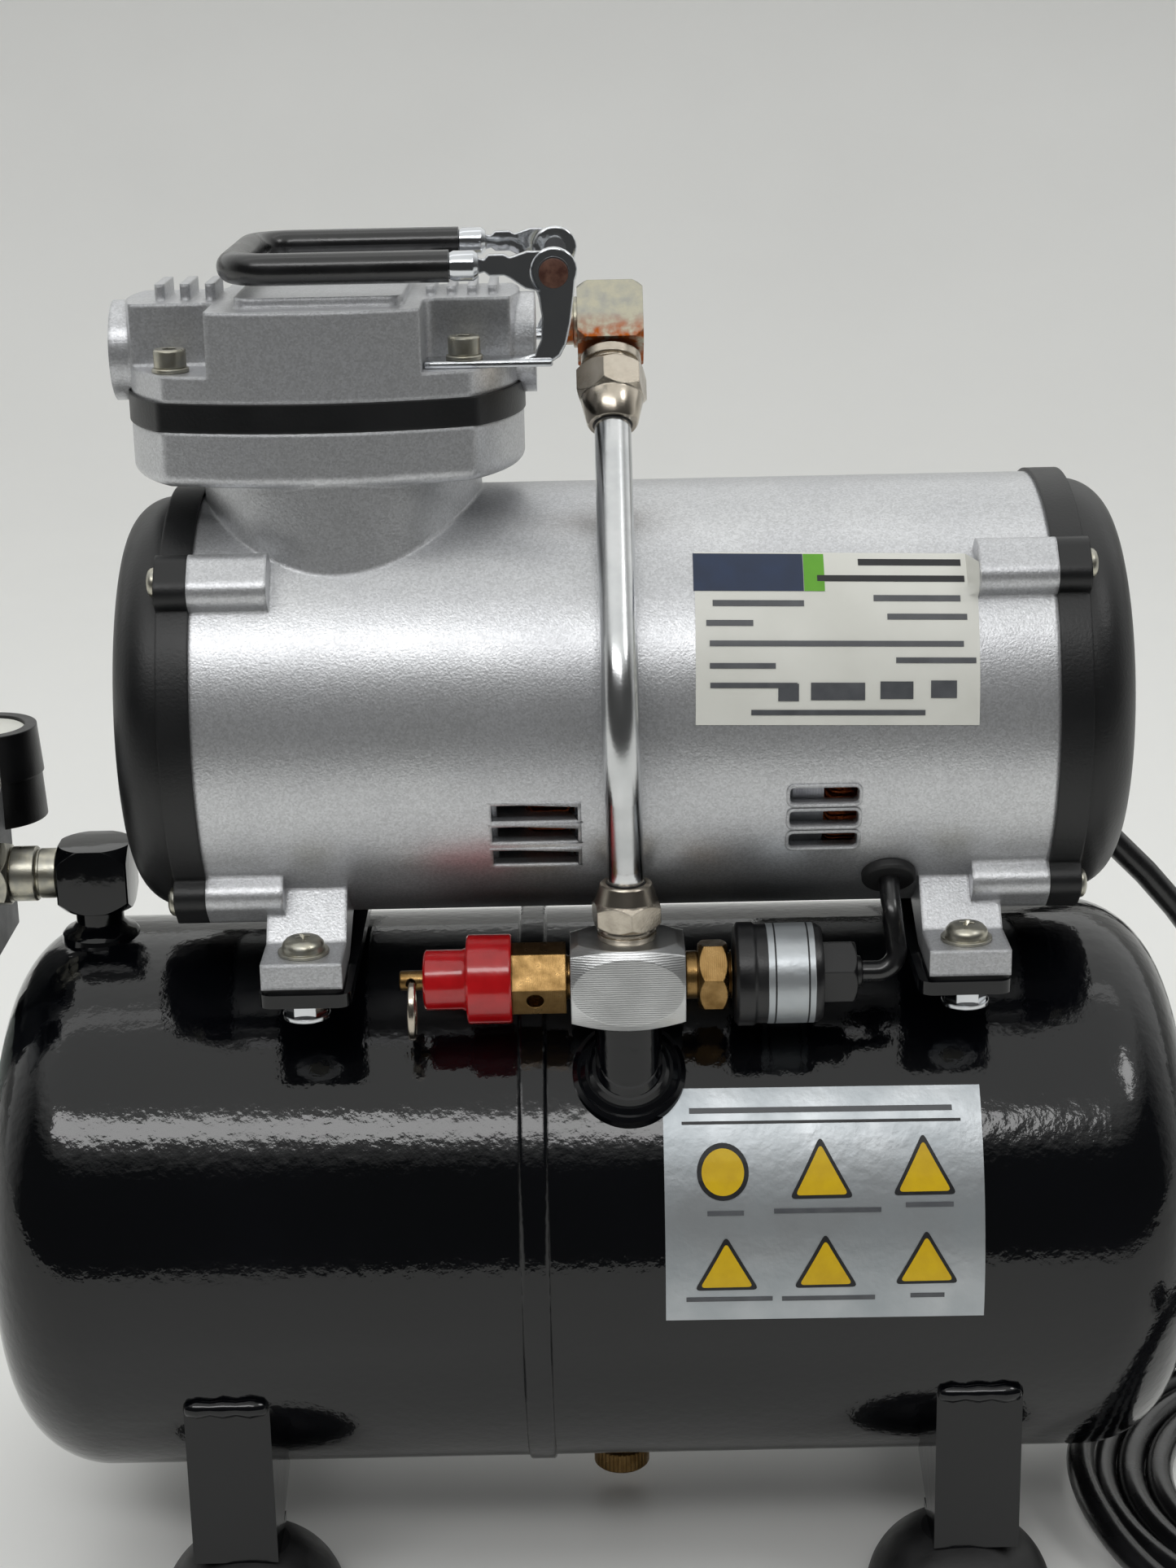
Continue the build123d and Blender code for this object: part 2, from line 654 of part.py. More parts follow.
# ---- head elbow, nuts and the outlet tube
elbow_z = 291.0
down = (0, -sin(radians(outlet_tilt)), -cos(radians(outlet_tilt)))


def along_outlet(distance):
    """Plane on the tilted outlet's axis, facing down it."""
    origin = (line_x, down[1] * distance, elbow_z + down[2] * distance)
    return Plane(origin=origin, x_dir=(1, 0, 0), z_dir=down)


with BuildPart() as head_elbow:
    block(along_outlet(-6.5), 14.5, 13.5, 14.5, 1.5)
    disc(right_of(boss_right_x, 0, boss_z), 4.9, line_x - 7 - boss_right_x)
    disc(right_of(boss_right_x - 9, 0, boss_z), 3.95, 10)
    disc(along_outlet(8), 6.4, 4.5)
    disc(along_outlet(-2), 2.6, 15, mode=Mode.SUBTRACT)
    disc(right_of(boss_right_x - 9, 0, boss_z), 2.4, 26, mode=Mode.SUBTRACT)
finish_node(head_elbow, "head_elbow")

lower_nut = level(tee_x, -line_y, tee_top_z)
with BuildPart() as tube_nuts:
    hexagon(along_outlet(12.5), hex_af, 7.5)
    cone(along_outlet(20), 7.0, 5.2, 6.5)
    disc(along_outlet(12), tube_r, 16, mode=Mode.SUBTRACT)
    disc(lower_nut, 6.2, 3.0)
    hexagon(lower_nut.offset(3), hex_af, 5.5)
    cone(lower_nut.offset(8.5), 7.0, 5.4, 4.0)
    disc(lower_nut, tube_r, 16, mode=Mode.SUBTRACT)
finish_node(tube_nuts, "tube_nuts")

tube_start = along_outlet(12.5).origin
tube_knee = along_outlet(98).origin
tube_low = Vector(tee_x, -line_y, 178)
tube_end = Vector(tee_x, -line_y, tee_top_z)
with BuildPart() as outlet_tube:
    with BuildLine():
        FilletPolyline(tube_start, tube_knee, tube_low, tube_end, radius=[31, 12])
    with BuildSketch(along_outlet(12.5)):
        Circle(tube_r)
    sweep()
    with BuildLine():
        FilletPolyline(tube_start, tube_knee, tube_low, tube_end, radius=[31, 12])
    with BuildSketch(along_outlet(12.5)):
        Circle(tube_r - 1.1)
    sweep(mode=Mode.SUBTRACT)
finish_node(outlet_tube, "outlet_tube")

# ---- tee block
with BuildPart() as tee_block:
    block(level(tee_x, -line_y, tee_bottom_z), tee_width, tee_depth, tee_top_z - tee_bottom_z)
    chamfer(tee_block.edges().filter_by(Axis.X), 1.2)
    disc(level(tee_x, -line_y, tee_bottom_z), 3.0, 30, mode=Mode.SUBTRACT)
    disc(right_of(tee_x - 30, -line_y, port_z), 3.0, 60, mode=Mode.SUBTRACT)
finish_node(tee_block, "tee_block")

# ---- relief valve
tee_left = tee_x - tee_width / 2
tee_right = tee_x + tee_width / 2
cap_right = 7.5
with BuildPart() as relief_body:
    hexagon(right_of(cap_right, -line_y, port_z), 13.8, 11.8, turn=0)
    disc(right_of(cap_right + 11.8, -line_y, port_z), 4.8, tee_left - cap_right - 11.8)
    disc(right_of(tee_left, -line_y, port_z), 2.95, 6)
    disc(right_of(cap_right - 12, -line_y, port_z), 5.0, 12)
    disc(right_of(cap_right - 15, -line_y, port_z), stem_r + 0.1, 20, mode=Mode.SUBTRACT)
    disc(front_of(12.5, -line_y, port_z - 3.0), 1.9, 12, mode=Mode.SUBTRACT)
finish_node(relief_body, "relief_body")

with BuildPart() as relief_cap:
    disc(right_of(cap_right - 9.8, -line_y, port_z), 9.8, 9.8)
    disc(right_of(cap_right - 19.5, -line_y, port_z), 6.6, 9.8)
    fillet(relief_cap.edges().filter_by(GeomType.CIRCLE).sort_by(Axis.X)[0], 0.8)
    disc(right_of(cap_right - 12, -line_y, port_z), 5.0, 12, mode=Mode.SUBTRACT)
    disc(right_of(cap_right - 20, -line_y, port_z), stem_r + 0.1, 20, mode=Mode.SUBTRACT)
finish_node(relief_cap, "relief_cap")

stem_left = cap_right - 24.8
ring_hole_x = stem_left + 2.6
ring_hole_r = 1.15
with BuildPart() as relief_stem:
    disc(right_of(stem_left, -line_y, port_z), stem_r, 27)
    disc(front_of(ring_hole_x, -line_y + 5, port_z), ring_hole_r, 10, mode=Mode.SUBTRACT)
    fillet(relief_stem.edges().filter_by(GeomType.CIRCLE).sort_by(Axis.X)[0], 0.5)
finish_node(relief_stem, "relief_stem")

with BuildPart() as relief_ring:
    with BuildSketch(front_of(ring_hole_x, -line_y, port_z + 0.15)):
        Circle(ring_wire_r)
    ring_axis = Axis((ring_hole_x, -line_y, port_z + 0.15 - ring_r), (1, 0, 0))
    revolve(axis=ring_axis)
finish_node(relief_ring, "relief_ring")

# ---- pressure switch, its cable and the grommet
switch_x = 56.0
switch_end_x = 82.9
with BuildPart() as switch_fitting:
    disc(right_of(tee_right, -line_y, port_z), 4.8, 3)
    disc(right_of(tee_right - 6, -line_y, port_z), 2.95, 6)
    hexagon(right_of(tee_right + 3, -line_y, port_z), hex_af, 6.4, turn=20)
    cone(right_of(tee_right + 9.4, -line_y, port_z), 4.5, 7.5, switch_x - tee_right - 9.4)
finish_node(switch_fitting, "switch_fitting")

with BuildPart() as switch_body:
    disc(right_of(switch_x, -line_y, port_z), 11.4, 5)
    disc(right_of(switch_x, -line_y, port_z), 10.9, 19.3)
    disc(right_of(switch_x + 19.3, -line_y, port_z), 6.7, switch_end_x - switch_x - 19.3)
    fillet(switch_body.edges().filter_by(GeomType.CIRCLE).sort_by(Axis.X)[-1], 1.2)
finish_node(switch_body, "switch_body")

cable_r = 2.25
out_plane = radial_plane(grommet_x, grommet_angle, motor_r + 2.0)
out_dir = out_plane.z_dir
cable_start = out_plane.origin
cable_turn = cable_start + out_dir * 8
cable_low = Vector(92.6, -line_y, port_z)
cable_end = Vector(switch_end_x, -line_y, port_z)
with BuildPart() as switch_cable:
    with BuildLine():
        FilletPolyline(cable_start, cable_turn, cable_low, cable_end, radius=[6, 4.5])
    with BuildSketch(out_plane):
        Circle(cable_r)
    sweep()
finish_node(switch_cable, "switch_cable")

with BuildPart() as cable_grommet:
    disc(radial_plane(grommet_x, grommet_angle, motor_r - 0.6), grommet_r, 2.6)
    fillet(cable_grommet.edges().filter_by(GeomType.CIRCLE), 0.8)
    disc(right_of(grommet_x - 20, 0, motor_z), motor_r, 40, mode=Mode.SUBTRACT)
    disc(radial_plane(grommet_x, grommet_angle, inner_r - 1), grommet_r - 1.5, motor_wall + 2)
finish_node(cable_grommet, "cable_grommet")

# ---- tank outlet elbow and nipple
with BuildPart() as tank_elbow:
    block(level(outlet_x, 0, 157.0), 16.5, 16.5, 15.5, 2.5)
    disc(level(outlet_x, 0, outlet_boss_z), 5.6, 8)
    disc(level(outlet_x, 0, 146), 4.15, 6)
    disc(level(outlet_x, 0, 146), air_bore_r, 19, mode=Mode.SUBTRACT)
    disc(right_of(outlet_x - 9, 0, outlet_z), air_bore_r, 9, mode=Mode.SUBTRACT)
finish_node(tank_elbow, "tank_elbow")

elbow_left = outlet_x - 8.25
nipple_waist_x = outlet_x - 13.4
nipple_hex_x = outlet_x - 19.8
with BuildPart() as inlet_nipple:
    disc(right_of(nipple_waist_x, 0, outlet_z), 5.9, elbow_left - nipple_waist_x)
    disc(right_of(nipple_hex_x, 0, outlet_z), 6.5, nipple_waist_x - nipple_hex_x)
    hexagon(right_of(regulator_face_x, 0, outlet_z), hex_af, nipple_hex_x - regulator_face_x)
    disc(right_of(regulator_face_x, 0, outlet_z), air_bore_r, elbow_left - regulator_face_x, mode=Mode.SUBTRACT)
finish_node(inlet_nipple, "inlet_nipple")

# ---- regulator: body, bowl, drain button, knob
body_left = regulator_x - 19.0
body_mid = (body_left + regulator_face_x) / 2
body_width = regulator_face_x - body_left
with BuildPart() as regulator_body:
    block(level(body_mid, 7.5, 141), body_width, 43, 30, 3)
    chamfer(regulator_body.edges().filter_by_position(Axis.Z, 140, 142), 2.5)
    block(level(body_mid, -3.5, 165), body_width, 21, 30, 2)
    block(level(regulator_face_x + 0.5, -3.0, 173.6), 6, 17, 21.4, 1)
    disc(level(regulator_x, 0, 135), bowl_r + 1.5, 8)
    disc(level(regulator_x, 0, 135), 9, 5, mode=Mode.SUBTRACT)
    disc(level(knob_x, knob_y, 165), knob_shaft_r, 12)
    disc(right_of(regulator_face_x - 4, 0, outlet_z), air_bore_r, 10, mode=Mode.SUBTRACT)
finish_node(regulator_body, "regulator_body")

bowl_bottom_z = 84.0
with BuildPart() as regulator_bowl:
    with BuildSketch(front_of(regulator_x, 0, 0)):
        with BuildLine():
            Line((3.3, bowl_bottom_z), (bowl_r - 6, bowl_bottom_z))
            ThreePointArc((bowl_r - 6, bowl_bottom_z), (bowl_r - 1.8, bowl_bottom_z + 1.8),
                          (bowl_r, bowl_bottom_z + 6))
            Line((bowl_r, bowl_bottom_z + 6), (bowl_r, 135))
            Line((bowl_r, 135), (bowl_r - 2, 135))
            Line((bowl_r - 2, 135), (bowl_r - 2, bowl_bottom_z + 6))
            ThreePointArc((bowl_r - 2, bowl_bottom_z + 6), (bowl_r - 3.2, bowl_bottom_z + 3.2),
                          (bowl_r - 6, bowl_bottom_z + 2))
            Line((bowl_r - 6, bowl_bottom_z + 2), (3.3, bowl_bottom_z + 2))
            Line((3.3, bowl_bottom_z + 2), (3.3, bowl_bottom_z))
        make_face()
    revolve(axis=Axis((regulator_x, 0, 0), (0, 0, 1)))
finish_node(regulator_bowl, "regulator_bowl")

button_low_z = bowl_bottom_z - 8.0
with BuildPart() as bowl_drain:
    disc(level(regulator_x, 0, button_low_z), 3.0, 12)
    disc(level(regulator_x, 0, button_low_z), 4.5, 4)
    disc(level(regulator_x, 0, bowl_bottom_z + 2), 4.5, 2)
finish_node(bowl_drain, "bowl_drain")

knob_low_z = 173.0
with BuildPart() as regulator_knob:
    cone(level(knob_x, knob_y, knob_low_z), knob_r + 0.6, knob_r, 11)
    cone(level(knob_x, knob_y, knob_low_z + 11), knob_r + 0.5, knob_r - 0.4, 11.5)
    disc(level(knob_x, knob_y, knob_low_z + 21), knob_r - 3.2, 2, mode=Mode.SUBTRACT)
    disc(level(knob_x, knob_y, knob_low_z), knob_shaft_r + 0.3, 5, mode=Mode.SUBTRACT)
finish_node(regulator_knob, "regulator_knob")

# ---- gauge: case, needle; hose outlet
gauge_back_y = -22.0
gauge_front_y = -36.0
with BuildPart() as gauge_case:
    disc(front_of(regulator_x, gauge_back_y, gauge_z), gauge_r, gauge_back_y - gauge_front_y)
    fillet(gauge_case.edges().filter_by(GeomType.CIRCLE), 1.2)
    disc(front_of(regulator_x, gauge_front_y + 2.6, gauge_z), gauge_r - 2, 5, mode=Mode.SUBTRACT)
    hexagon(front_of(regulator_x, -14, gauge_z), 10, 8)
finish_node(gauge_case, "gauge_case")

with BuildPart() as gauge_needle:
    with BuildSketch(front_of(regulator_x, gauge_front_y + 2.1, gauge_z)):
        Circle(1.8)
        with BuildLine():
            Polyline((-1.2, 1.2), (1.2, -1.2), (-8.2, -9.2), (-9.2, -8.2), close=True)
        make_face()
    extrude(amount=0.5)
finish_node(gauge_needle, "gauge_needle")

thread_length = 8.0
hose_hex_width = 4.0
thread_left = body_left - hose_hex_width - thread_length
with BuildPart() as hose_outlet:
    hexagon(right_of(body_left - hose_hex_width, 0, outlet_z), 12, hose_hex_width)
    disc(right_of(thread_left, 0, outlet_z), thread_r, thread_length)
    disc(right_of(thread_left, 0, outlet_z), air_bore_r, thread_length + hose_hex_width, mode=Mode.SUBTRACT)
finish_node(hose_outlet, "hose_outlet")

# ---- switch box, rocker, cord gland
box_x = 88.0
box_z = 192.0
box_back_y = 62.0
with BuildPart() as switch_box:
    block(Plane(origin=(box_x, 30, box_z), x_dir=(1, 0, 0), z_dir=(0, 1, 0)), 40, 34, box_back_y - 30, 3)
    disc(right_of(box_x - 30, 0, motor_z), motor_r, 60, mode=Mode.SUBTRACT)
    block(Plane(origin=(box_x, 52.8, box_z), x_dir=(1, 0, 0), z_dir=(0, 1, 0)), 11, 16.6, 12, mode=Mode.SUBTRACT)
finish_node(switch_box, "switch_box")

rocker_y = 61.4
with BuildPart() as rocker:
    with BuildSketch(right_of(box_x - 5, rocker_y, box_z)):
        Circle(7.2)
        with Locations((10, 0)):
            Rectangle(20, 40, mode=Mode.SUBTRACT)
        with BuildLine():
            Polyline((0, -7.2), (3.2, -7.2), (0.6, 0), (1.4, 7.2), (0, 7.2), close=True)
        make_face()
    extrude(amount=10)
finish_node(rocker, "rocker")

cord_points = [(124, 54, 178), (158, 56, 154), (196, 60, 105), (222, 60, 45), (256, 19, 9)]
gland_dir = (Vector(cord_points[1]) - Vector(cord_points[0])).normalized()
gland_plane = Plane(origin=cord_points[0], z_dir=gland_dir)
with BuildPart() as cord_gland:
    disc(gland_plane.offset(-20), 5.6, 12)
    cone(gland_plane.offset(-8), 5.0, 4.2, 8)
    disc(gland_plane.offset(-4), cord_r, 5, mode=Mode.SUBTRACT)
    block(level(box_x, 50, 150), 40, 60, 80, mode=Mode.SUBTRACT)
finish_node(cord_gland, "cord_gland")


# ---- power cord, coil, plug
def corner_radii(points):
    """The largest easy radius at each corner of a run of points."""
    radii = []
    for before, here, after in zip(points, points[1:], points[2:]):
        first = Vector(here) - Vector(before)
        second = Vector(after) - Vector(here)
        half_turn = radians(first.get_angle(second)) / 2
        radii.append(0.45 * min(first.length, second.length) / tan(half_turn))
    return radii


cord_radii = corner_radii(cord_points)
print("cord radii", [round(value, 1) for value in cord_radii])
tail_points = [(coil_x + 58, coil_y, 8), (coil_x + 58, coil_y - 30, 6.5), (coil_x + 57, coil_y - 59, 8)]
tail_radii = corner_radii(tail_points)
print("tail radii", [round(value, 1) for value in tail_radii])
with BuildPart() as power_cord:
    with BuildLine():
        cord_path = FilletPolyline(*[gland_plane.offset(-4).origin] + cord_points[1:], radius=cord_radii)
    with BuildSketch(gland_plane.offset(-4)):
        Circle(cord_r)
    sweep()
    with BuildLine():
        FilletPolyline(*tail_points, radius=tail_radii)
    tail_dir = (Vector(tail_points[1]) - Vector(tail_points[0])).normalized()
    with BuildSketch(Plane(origin=tail_points[0], z_dir=tail_dir)):
        Circle(cord_r)
    sweep()
finish_node(power_cord, "power_cord")
print("cord path", round(cord_path.length, 1))

with BuildPart() as cord_coil:
    ring(level(coil_x, coil_y, 0), coil_outer_r, coil_inner_r, coil_height)
    fillet(cord_coil.edges().filter_by(GeomType.CIRCLE), 3)
finish_node(cord_coil, "cord_coil")

plug_start = Vector(tail_points[2])
plug_y = plug_start.Y
with BuildPart() as power_plug:
    plug_plane = Plane(origin=(plug_start.X, plug_y + 2, 9.0), x_dir=(1, 0, 0), z_dir=(0, -1, 0))
    cone(plug_plane, 4.6, 6.0, 14)
    block(plug_plane.offset(14), 26, 17, 22, 5)
    for x_off in (-6.35, 6.35):
        block(Plane(origin=(plug_start.X + x_off, plug_y - 34, 9.0), x_dir=(1, 0, 0), z_dir=(0, -1, 0)),
              1.5, 6.4, 17.5)
finish_node(power_plug, "power_plug")
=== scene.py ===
import math

import bpy
from mathutils import Matrix, Vector


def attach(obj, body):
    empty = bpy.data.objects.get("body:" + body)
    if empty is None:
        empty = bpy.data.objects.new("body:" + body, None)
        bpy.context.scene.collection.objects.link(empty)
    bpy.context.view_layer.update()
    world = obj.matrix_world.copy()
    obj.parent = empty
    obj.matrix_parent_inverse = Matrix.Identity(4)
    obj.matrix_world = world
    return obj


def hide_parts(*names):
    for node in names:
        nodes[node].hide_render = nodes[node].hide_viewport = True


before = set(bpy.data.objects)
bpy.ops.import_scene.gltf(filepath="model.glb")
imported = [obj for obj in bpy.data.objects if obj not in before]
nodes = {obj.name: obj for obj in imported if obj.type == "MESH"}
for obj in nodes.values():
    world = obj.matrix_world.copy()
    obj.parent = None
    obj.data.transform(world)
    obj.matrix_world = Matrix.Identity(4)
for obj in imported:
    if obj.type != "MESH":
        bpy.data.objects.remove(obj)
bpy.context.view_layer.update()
print("frame loaded,", len(nodes), "nodes")

# camera, at eye height in front of the tank and a little to the right of its middle
viewPlan = {"place": (0.025, -0.5983, 0.367), "tilt": 73.0, "roll": -1.2, "lens": 61.65}
cameraData = bpy.data.cameras.new("viewCamera")
cameraData.lens = viewPlan["lens"]
cameraData.sensor_width = 36.0
viewCamera = bpy.data.objects.new("viewCamera", cameraData)
bpy.context.scene.collection.objects.link(viewCamera)
viewCamera.matrix_world = (Matrix.Translation(viewPlan["place"])
                           @ Matrix.Rotation(math.radians(viewPlan["tilt"]), 4, "X")
                           @ Matrix.Rotation(math.radians(viewPlan["roll"]), 4, "Z"))
bpy.context.scene.camera = viewCamera


def hexColour(text):
    values = [int(text[i:i + 2], 16) / 255 for i in (0, 2, 4)]
    return [v / 12.92 if v <= 0.04045 else ((v + 0.055) / 1.055) ** 2.4 for v in values] + [1.0]


def addNode(tree, kind, settings=None, links=None):
    node = tree.nodes.new(kind)
    for key, value in (settings or {}).items():
        if isinstance(key, int) or key in node.inputs:
            node.inputs[key].default_value = value
        else:
            setattr(node, key, value)
    for key, source in (links or {}).items():
        tree.links.new(source, node.inputs[key])
    return node


def makeFinish(name, look):
    # two tones that drift into each other, a roughness that varies and a fine relief, sized in millimetres
    material = bpy.data.materials.new(name)
    material.use_nodes = True
    tree = material.node_tree
    tree.nodes.clear()
    place = addNode(tree, "ShaderNodeTexCoord").outputs["Object"]
    drift = addNode(tree, "ShaderNodeTexNoise", {"Scale": 1000 / look["driftMm"], "Detail": 4.0},
                    {"Vector": place})
    spread = addNode(tree, "ShaderNodeMapRange", {"From Min": 0.35, "From Max": 0.68},
                     {"Value": drift.outputs["Fac"]})
    tone = addNode(tree, "ShaderNodeMix", {"data_type": "RGBA"}, {0: spread.outputs[0]})
    tone.inputs[6].default_value = hexColour(look["tones"][0])
    tone.inputs[7].default_value = hexColour(look["tones"][1])
    colour = tone.outputs[2]
    grain = addNode(tree, "ShaderNodeTexNoise", {"Scale": 1000 / look["grainMm"], "Detail": 3.0},
                    {"Vector": place})
    if look.get("fleck"):  # bright and dark flakes in the paint
        flake = addNode(tree, "ShaderNodeTexVoronoi", {"Scale": 1000 / look["fleckMm"]}, {"Vector": place})
        level = addNode(tree, "ShaderNodeSeparateColor", {}, {0: flake.outputs["Color"]})
        gain = addNode(tree, "ShaderNodeMapRange", {"To Min": 1 - look["fleck"], "To Max": 1 + look["fleck"]},
                       {"Value": level.outputs[0]})
        colour = addNode(tree, "ShaderNodeVectorMath", {"operation": "SCALE"},
                         {0: colour, "Scale": gain.outputs[0]}).outputs[0]
    if look.get("stain"):  # a second colour that gathers below a height
        stainTone, lowZ, highZ = look["stain"]
        spot = addNode(tree, "ShaderNodeSeparateXYZ", {}, {0: place})
        low = addNode(tree, "ShaderNodeMapRange", {"From Min": highZ / 1000, "From Max": lowZ / 1000},
                      {"Value": spot.outputs[2]})
        patchy = addNode(tree, "ShaderNodeMath", {"operation": "MULTIPLY"},
                         {0: low.outputs[0], 1: spread.outputs[0]})
        strong = addNode(tree, "ShaderNodeMath", {"operation": "MULTIPLY", 1: 1.7, "use_clamp": True},
                         {0: patchy.outputs[0]})
        stained = addNode(tree, "ShaderNodeMix", {"data_type": "RGBA"}, {0: strong.outputs[0], 6: colour})
        stained.inputs[7].default_value = hexColour(stainTone)
        colour = stained.outputs[2]
    rough = addNode(tree, "ShaderNodeMapRange", {"From Min": 0.3, "From Max": 0.7, "To Min": look["rough"][0],
                                                 "To Max": look["rough"][1]}, {"Value": drift.outputs["Fac"]})
    height = grain.outputs["Fac"]
    if look.get("linesMm"):  # turned or brushed marks
        marks = addNode(tree, "ShaderNodeTexWave", {"wave_type": look.get("linesType", "BANDS"),
                                                    "Scale": 314 / look["linesMm"], "Distortion": 1.5,
                                                    "Detail": 2.0}, {"Vector": place})
        if look.get("linesType") == "RINGS":
            marks.rings_direction = look["linesAxis"]
        else:
            marks.bands_direction = look["linesAxis"]
        height = addNode(tree, "ShaderNodeMath", {"operation": "MULTIPLY_ADD", 1: look["linesDepth"]},
                         {0: marks.outputs["Fac"], 2: height}).outputs[0]
    relief = addNode(tree, "ShaderNodeBump", {"Strength": 1.0, "Distance": look["reliefMm"] / 1000},
                     {"Height": height})
    if look.get("edgeMm"):  # worn, rounded edges
        edge = addNode(tree, "ShaderNodeBevel", {"Radius": look["edgeMm"] / 1000, "samples": 4})
        tree.links.new(edge.outputs[0], relief.inputs["Normal"])
    shader = addNode(tree, "ShaderNodeBsdfPrincipled", {"Metallic": look.get("metallic", 0.0),
                                                        "Coat Weight": look.get("coat", 0.0),
                                                        "Coat Roughness": look.get("coatRough", 0.03),
                                                        "Transmission Weight": look.get("clear", 0.0)},
                     {"Base Color": colour, "Roughness": rough.outputs[0], "Normal": relief.outputs[0]})
    if look.get("ior"):
        shader.inputs["IOR"].default_value = look["ior"]
    addNode(tree, "ShaderNodeOutputMaterial", {}, {"Surface": shader.outputs[0]})
    return material


def editMode(entered):
    bpy.ops.object.mode_set(mode="EDIT" if entered else "OBJECT")


def selectNone():
    bpy.ops.object.select_all(action="DESELECT")


def pickFaces(piece, test):
    # leaves edit mode on, with only the faces whose middle and normal pass the test selected
    editMode(True)
    bpy.ops.mesh.select_mode(type="FACE")
    bpy.ops.mesh.select_all(action="DESELECT")
    editMode(False)
    for face in piece.data.polygons:
        face.select = bool(test(face.center, face.normal))
    editMode(True)


def pickEdges(piece, test):
    editMode(True)
    bpy.ops.mesh.select_mode(type="EDGE")
    bpy.ops.mesh.select_all(action="DESELECT")
    editMode(False)
    for edge in piece.data.edges:
        edge.select = bool(test(*[piece.data.vertices[v].co for v in edge.vertices]))
    editMode(True)


def onlySelect(piece):
    selectNone()
    piece.select_set(True)
    bpy.context.view_layer.objects.active = piece


def setTransform():
    # the chosen piece keeps its shape, and its own place, turn and scale go back to none
    bpy.ops.object.transform_apply(location=True, rotation=True, scale=True)


def flatBox(size):
    # a box about the origin, with its sizes in millimetres
    selectNone()
    bpy.ops.mesh.primitive_cube_add(size=1)
    bpy.context.object.scale = [v / 1000 for v in size]
    setTransform()
    return bpy.context.object


def squeeze(piece, factors):
    piece.scale = factors
    setTransform()
    return piece


def turnBy(piece, degreesX=0, degreesZ=0):
    piece.rotation_euler = (math.radians(degreesX), 0, math.radians(degreesZ))
    setTransform()
    return piece


def squareBar(profile, across, size):
    # a four-sided bar turned to stand square, whose width and depth are then brought to size
    return squeeze(turnBy(turned(profile, 4), degreesZ=45), (size[0] / across, size[1] / across, 1))


def applyModifier(piece, kind, **settings):
    onlySelect(piece)
    modifier = piece.modifiers.new(kind.lower(), kind)
    for key, value in settings.items():
        setattr(modifier, key, value)
    bpy.ops.object.modifier_apply(modifier=modifier.name)


def finishPiece(piece, name, finish, body="base", angle=35, replaced=()):
    onlySelect(piece)
    setTransform()
    bpy.ops.object.shade_smooth_by_angle(angle=math.radians(angle))
    piece.name = name
    piece.data.name = name
    piece.data.materials.clear()
    piece.data.materials.append(finish)
    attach(piece, body)
    if replaced:
        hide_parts(*replaced)
    return piece


def joinAll(pieces):
    selectNone()
    for piece in pieces:
        piece.select_set(True)
    bpy.context.view_layer.objects.active = pieces[0]
    bpy.ops.object.join()
    return pieces[0]


# sprayed aluminium-flake paint over die castings: a soft grey sheen that sparkles
silverPaint = makeFinish("silverFlakePaint", {
    "tones": ("cbccce", "c1c2c5"), "driftMm": 30, "metallic": 0.72, "rough": (0.31, 0.38), "grainMm": 0.5,
    "reliefMm": 0.06, "fleck": 0.13, "fleckMm": 0.4, "edgeMm": 1.3})
# gloss enamel on welded steel: near black with a wet skin that ripples like orange peel
blackEnamel = makeFinish("glossBlackEnamel", {
    "tones": ("040507", "06070b"), "driftMm": 40, "rough": (0.06, 0.12), "grainMm": 2.6, "reliefMm": 0.1,
    "ior": 1.5, "edgeMm": 0.6})
# the same enamel run thick over small forgings, smoother and softer than on the tank
dippedEnamel = makeFinish("dippedBlackEnamel", {
    "tones": ("040507", "06070b"), "driftMm": 40, "rough": (0.07, 0.12), "grainMm": 5.0, "reliefMm": 0.08,
    "ior": 1.5})
# powder coat on the motor's ends: even satin black with a fine pebble
satinPowder = makeFinish("satinBlackPowderCoat", {
    "tones": ("08090b", "0d0e10"), "driftMm": 18, "rough": (0.36, 0.46), "grainMm": 0.7, "reliefMm": 0.05,
    "ior": 1.5, "edgeMm": 0.7})
# machined aluminium: pale, with close tool marks
milledAluminium = makeFinish("milledAluminium", {
    "tones": ("cfd0d0", "bfc0c0"), "driftMm": 6, "metallic": 1.0, "rough": (0.3, 0.4), "grainMm": 0.4,
    "reliefMm": 0.02, "linesMm": 0.5, "linesAxis": "Z", "linesDepth": 0.8, "edgeMm": 0.5})
# drawn aluminium tube: bright, with long scratches
drawnAluminium = makeFinish("drawnAluminiumTube", {
    "tones": ("dadbdc", "c9cbcc"), "driftMm": 9, "metallic": 1.0, "rough": (0.16, 0.26), "grainMm": 0.6,
    "reliefMm": 0.015})
# zinc plating with a yellow passivate: warm and cold patches
zincPlate = makeFinish("yellowedZincPlate", {
    "tones": ("bcb8a8", "a6a59d"), "driftMm": 2.5, "metallic": 1.0, "rough": (0.26, 0.42), "grainMm": 0.4,
    "reliefMm": 0.02, "edgeMm": 0.3})
# nickel plating over brass: warm white metal
nickelPlate = makeFinish("warmNickelPlate", {
    "tones": ("c9c0b2", "b4ab9d"), "driftMm": 4, "metallic": 1.0, "rough": (0.16, 0.28), "grainMm": 0.5,
    "reliefMm": 0.015, "edgeMm": 0.4})
# bright chrome on pressed steel: a dark and light mirror
brightChrome = makeFinish("brightChromePlate", {
    "tones": ("d9dbde", "cfd2d6"), "driftMm": 10, "metallic": 1.0, "rough": (0.05, 0.12), "grainMm": 2.0,
    "reliefMm": 0.02, "edgeMm": 0.5})
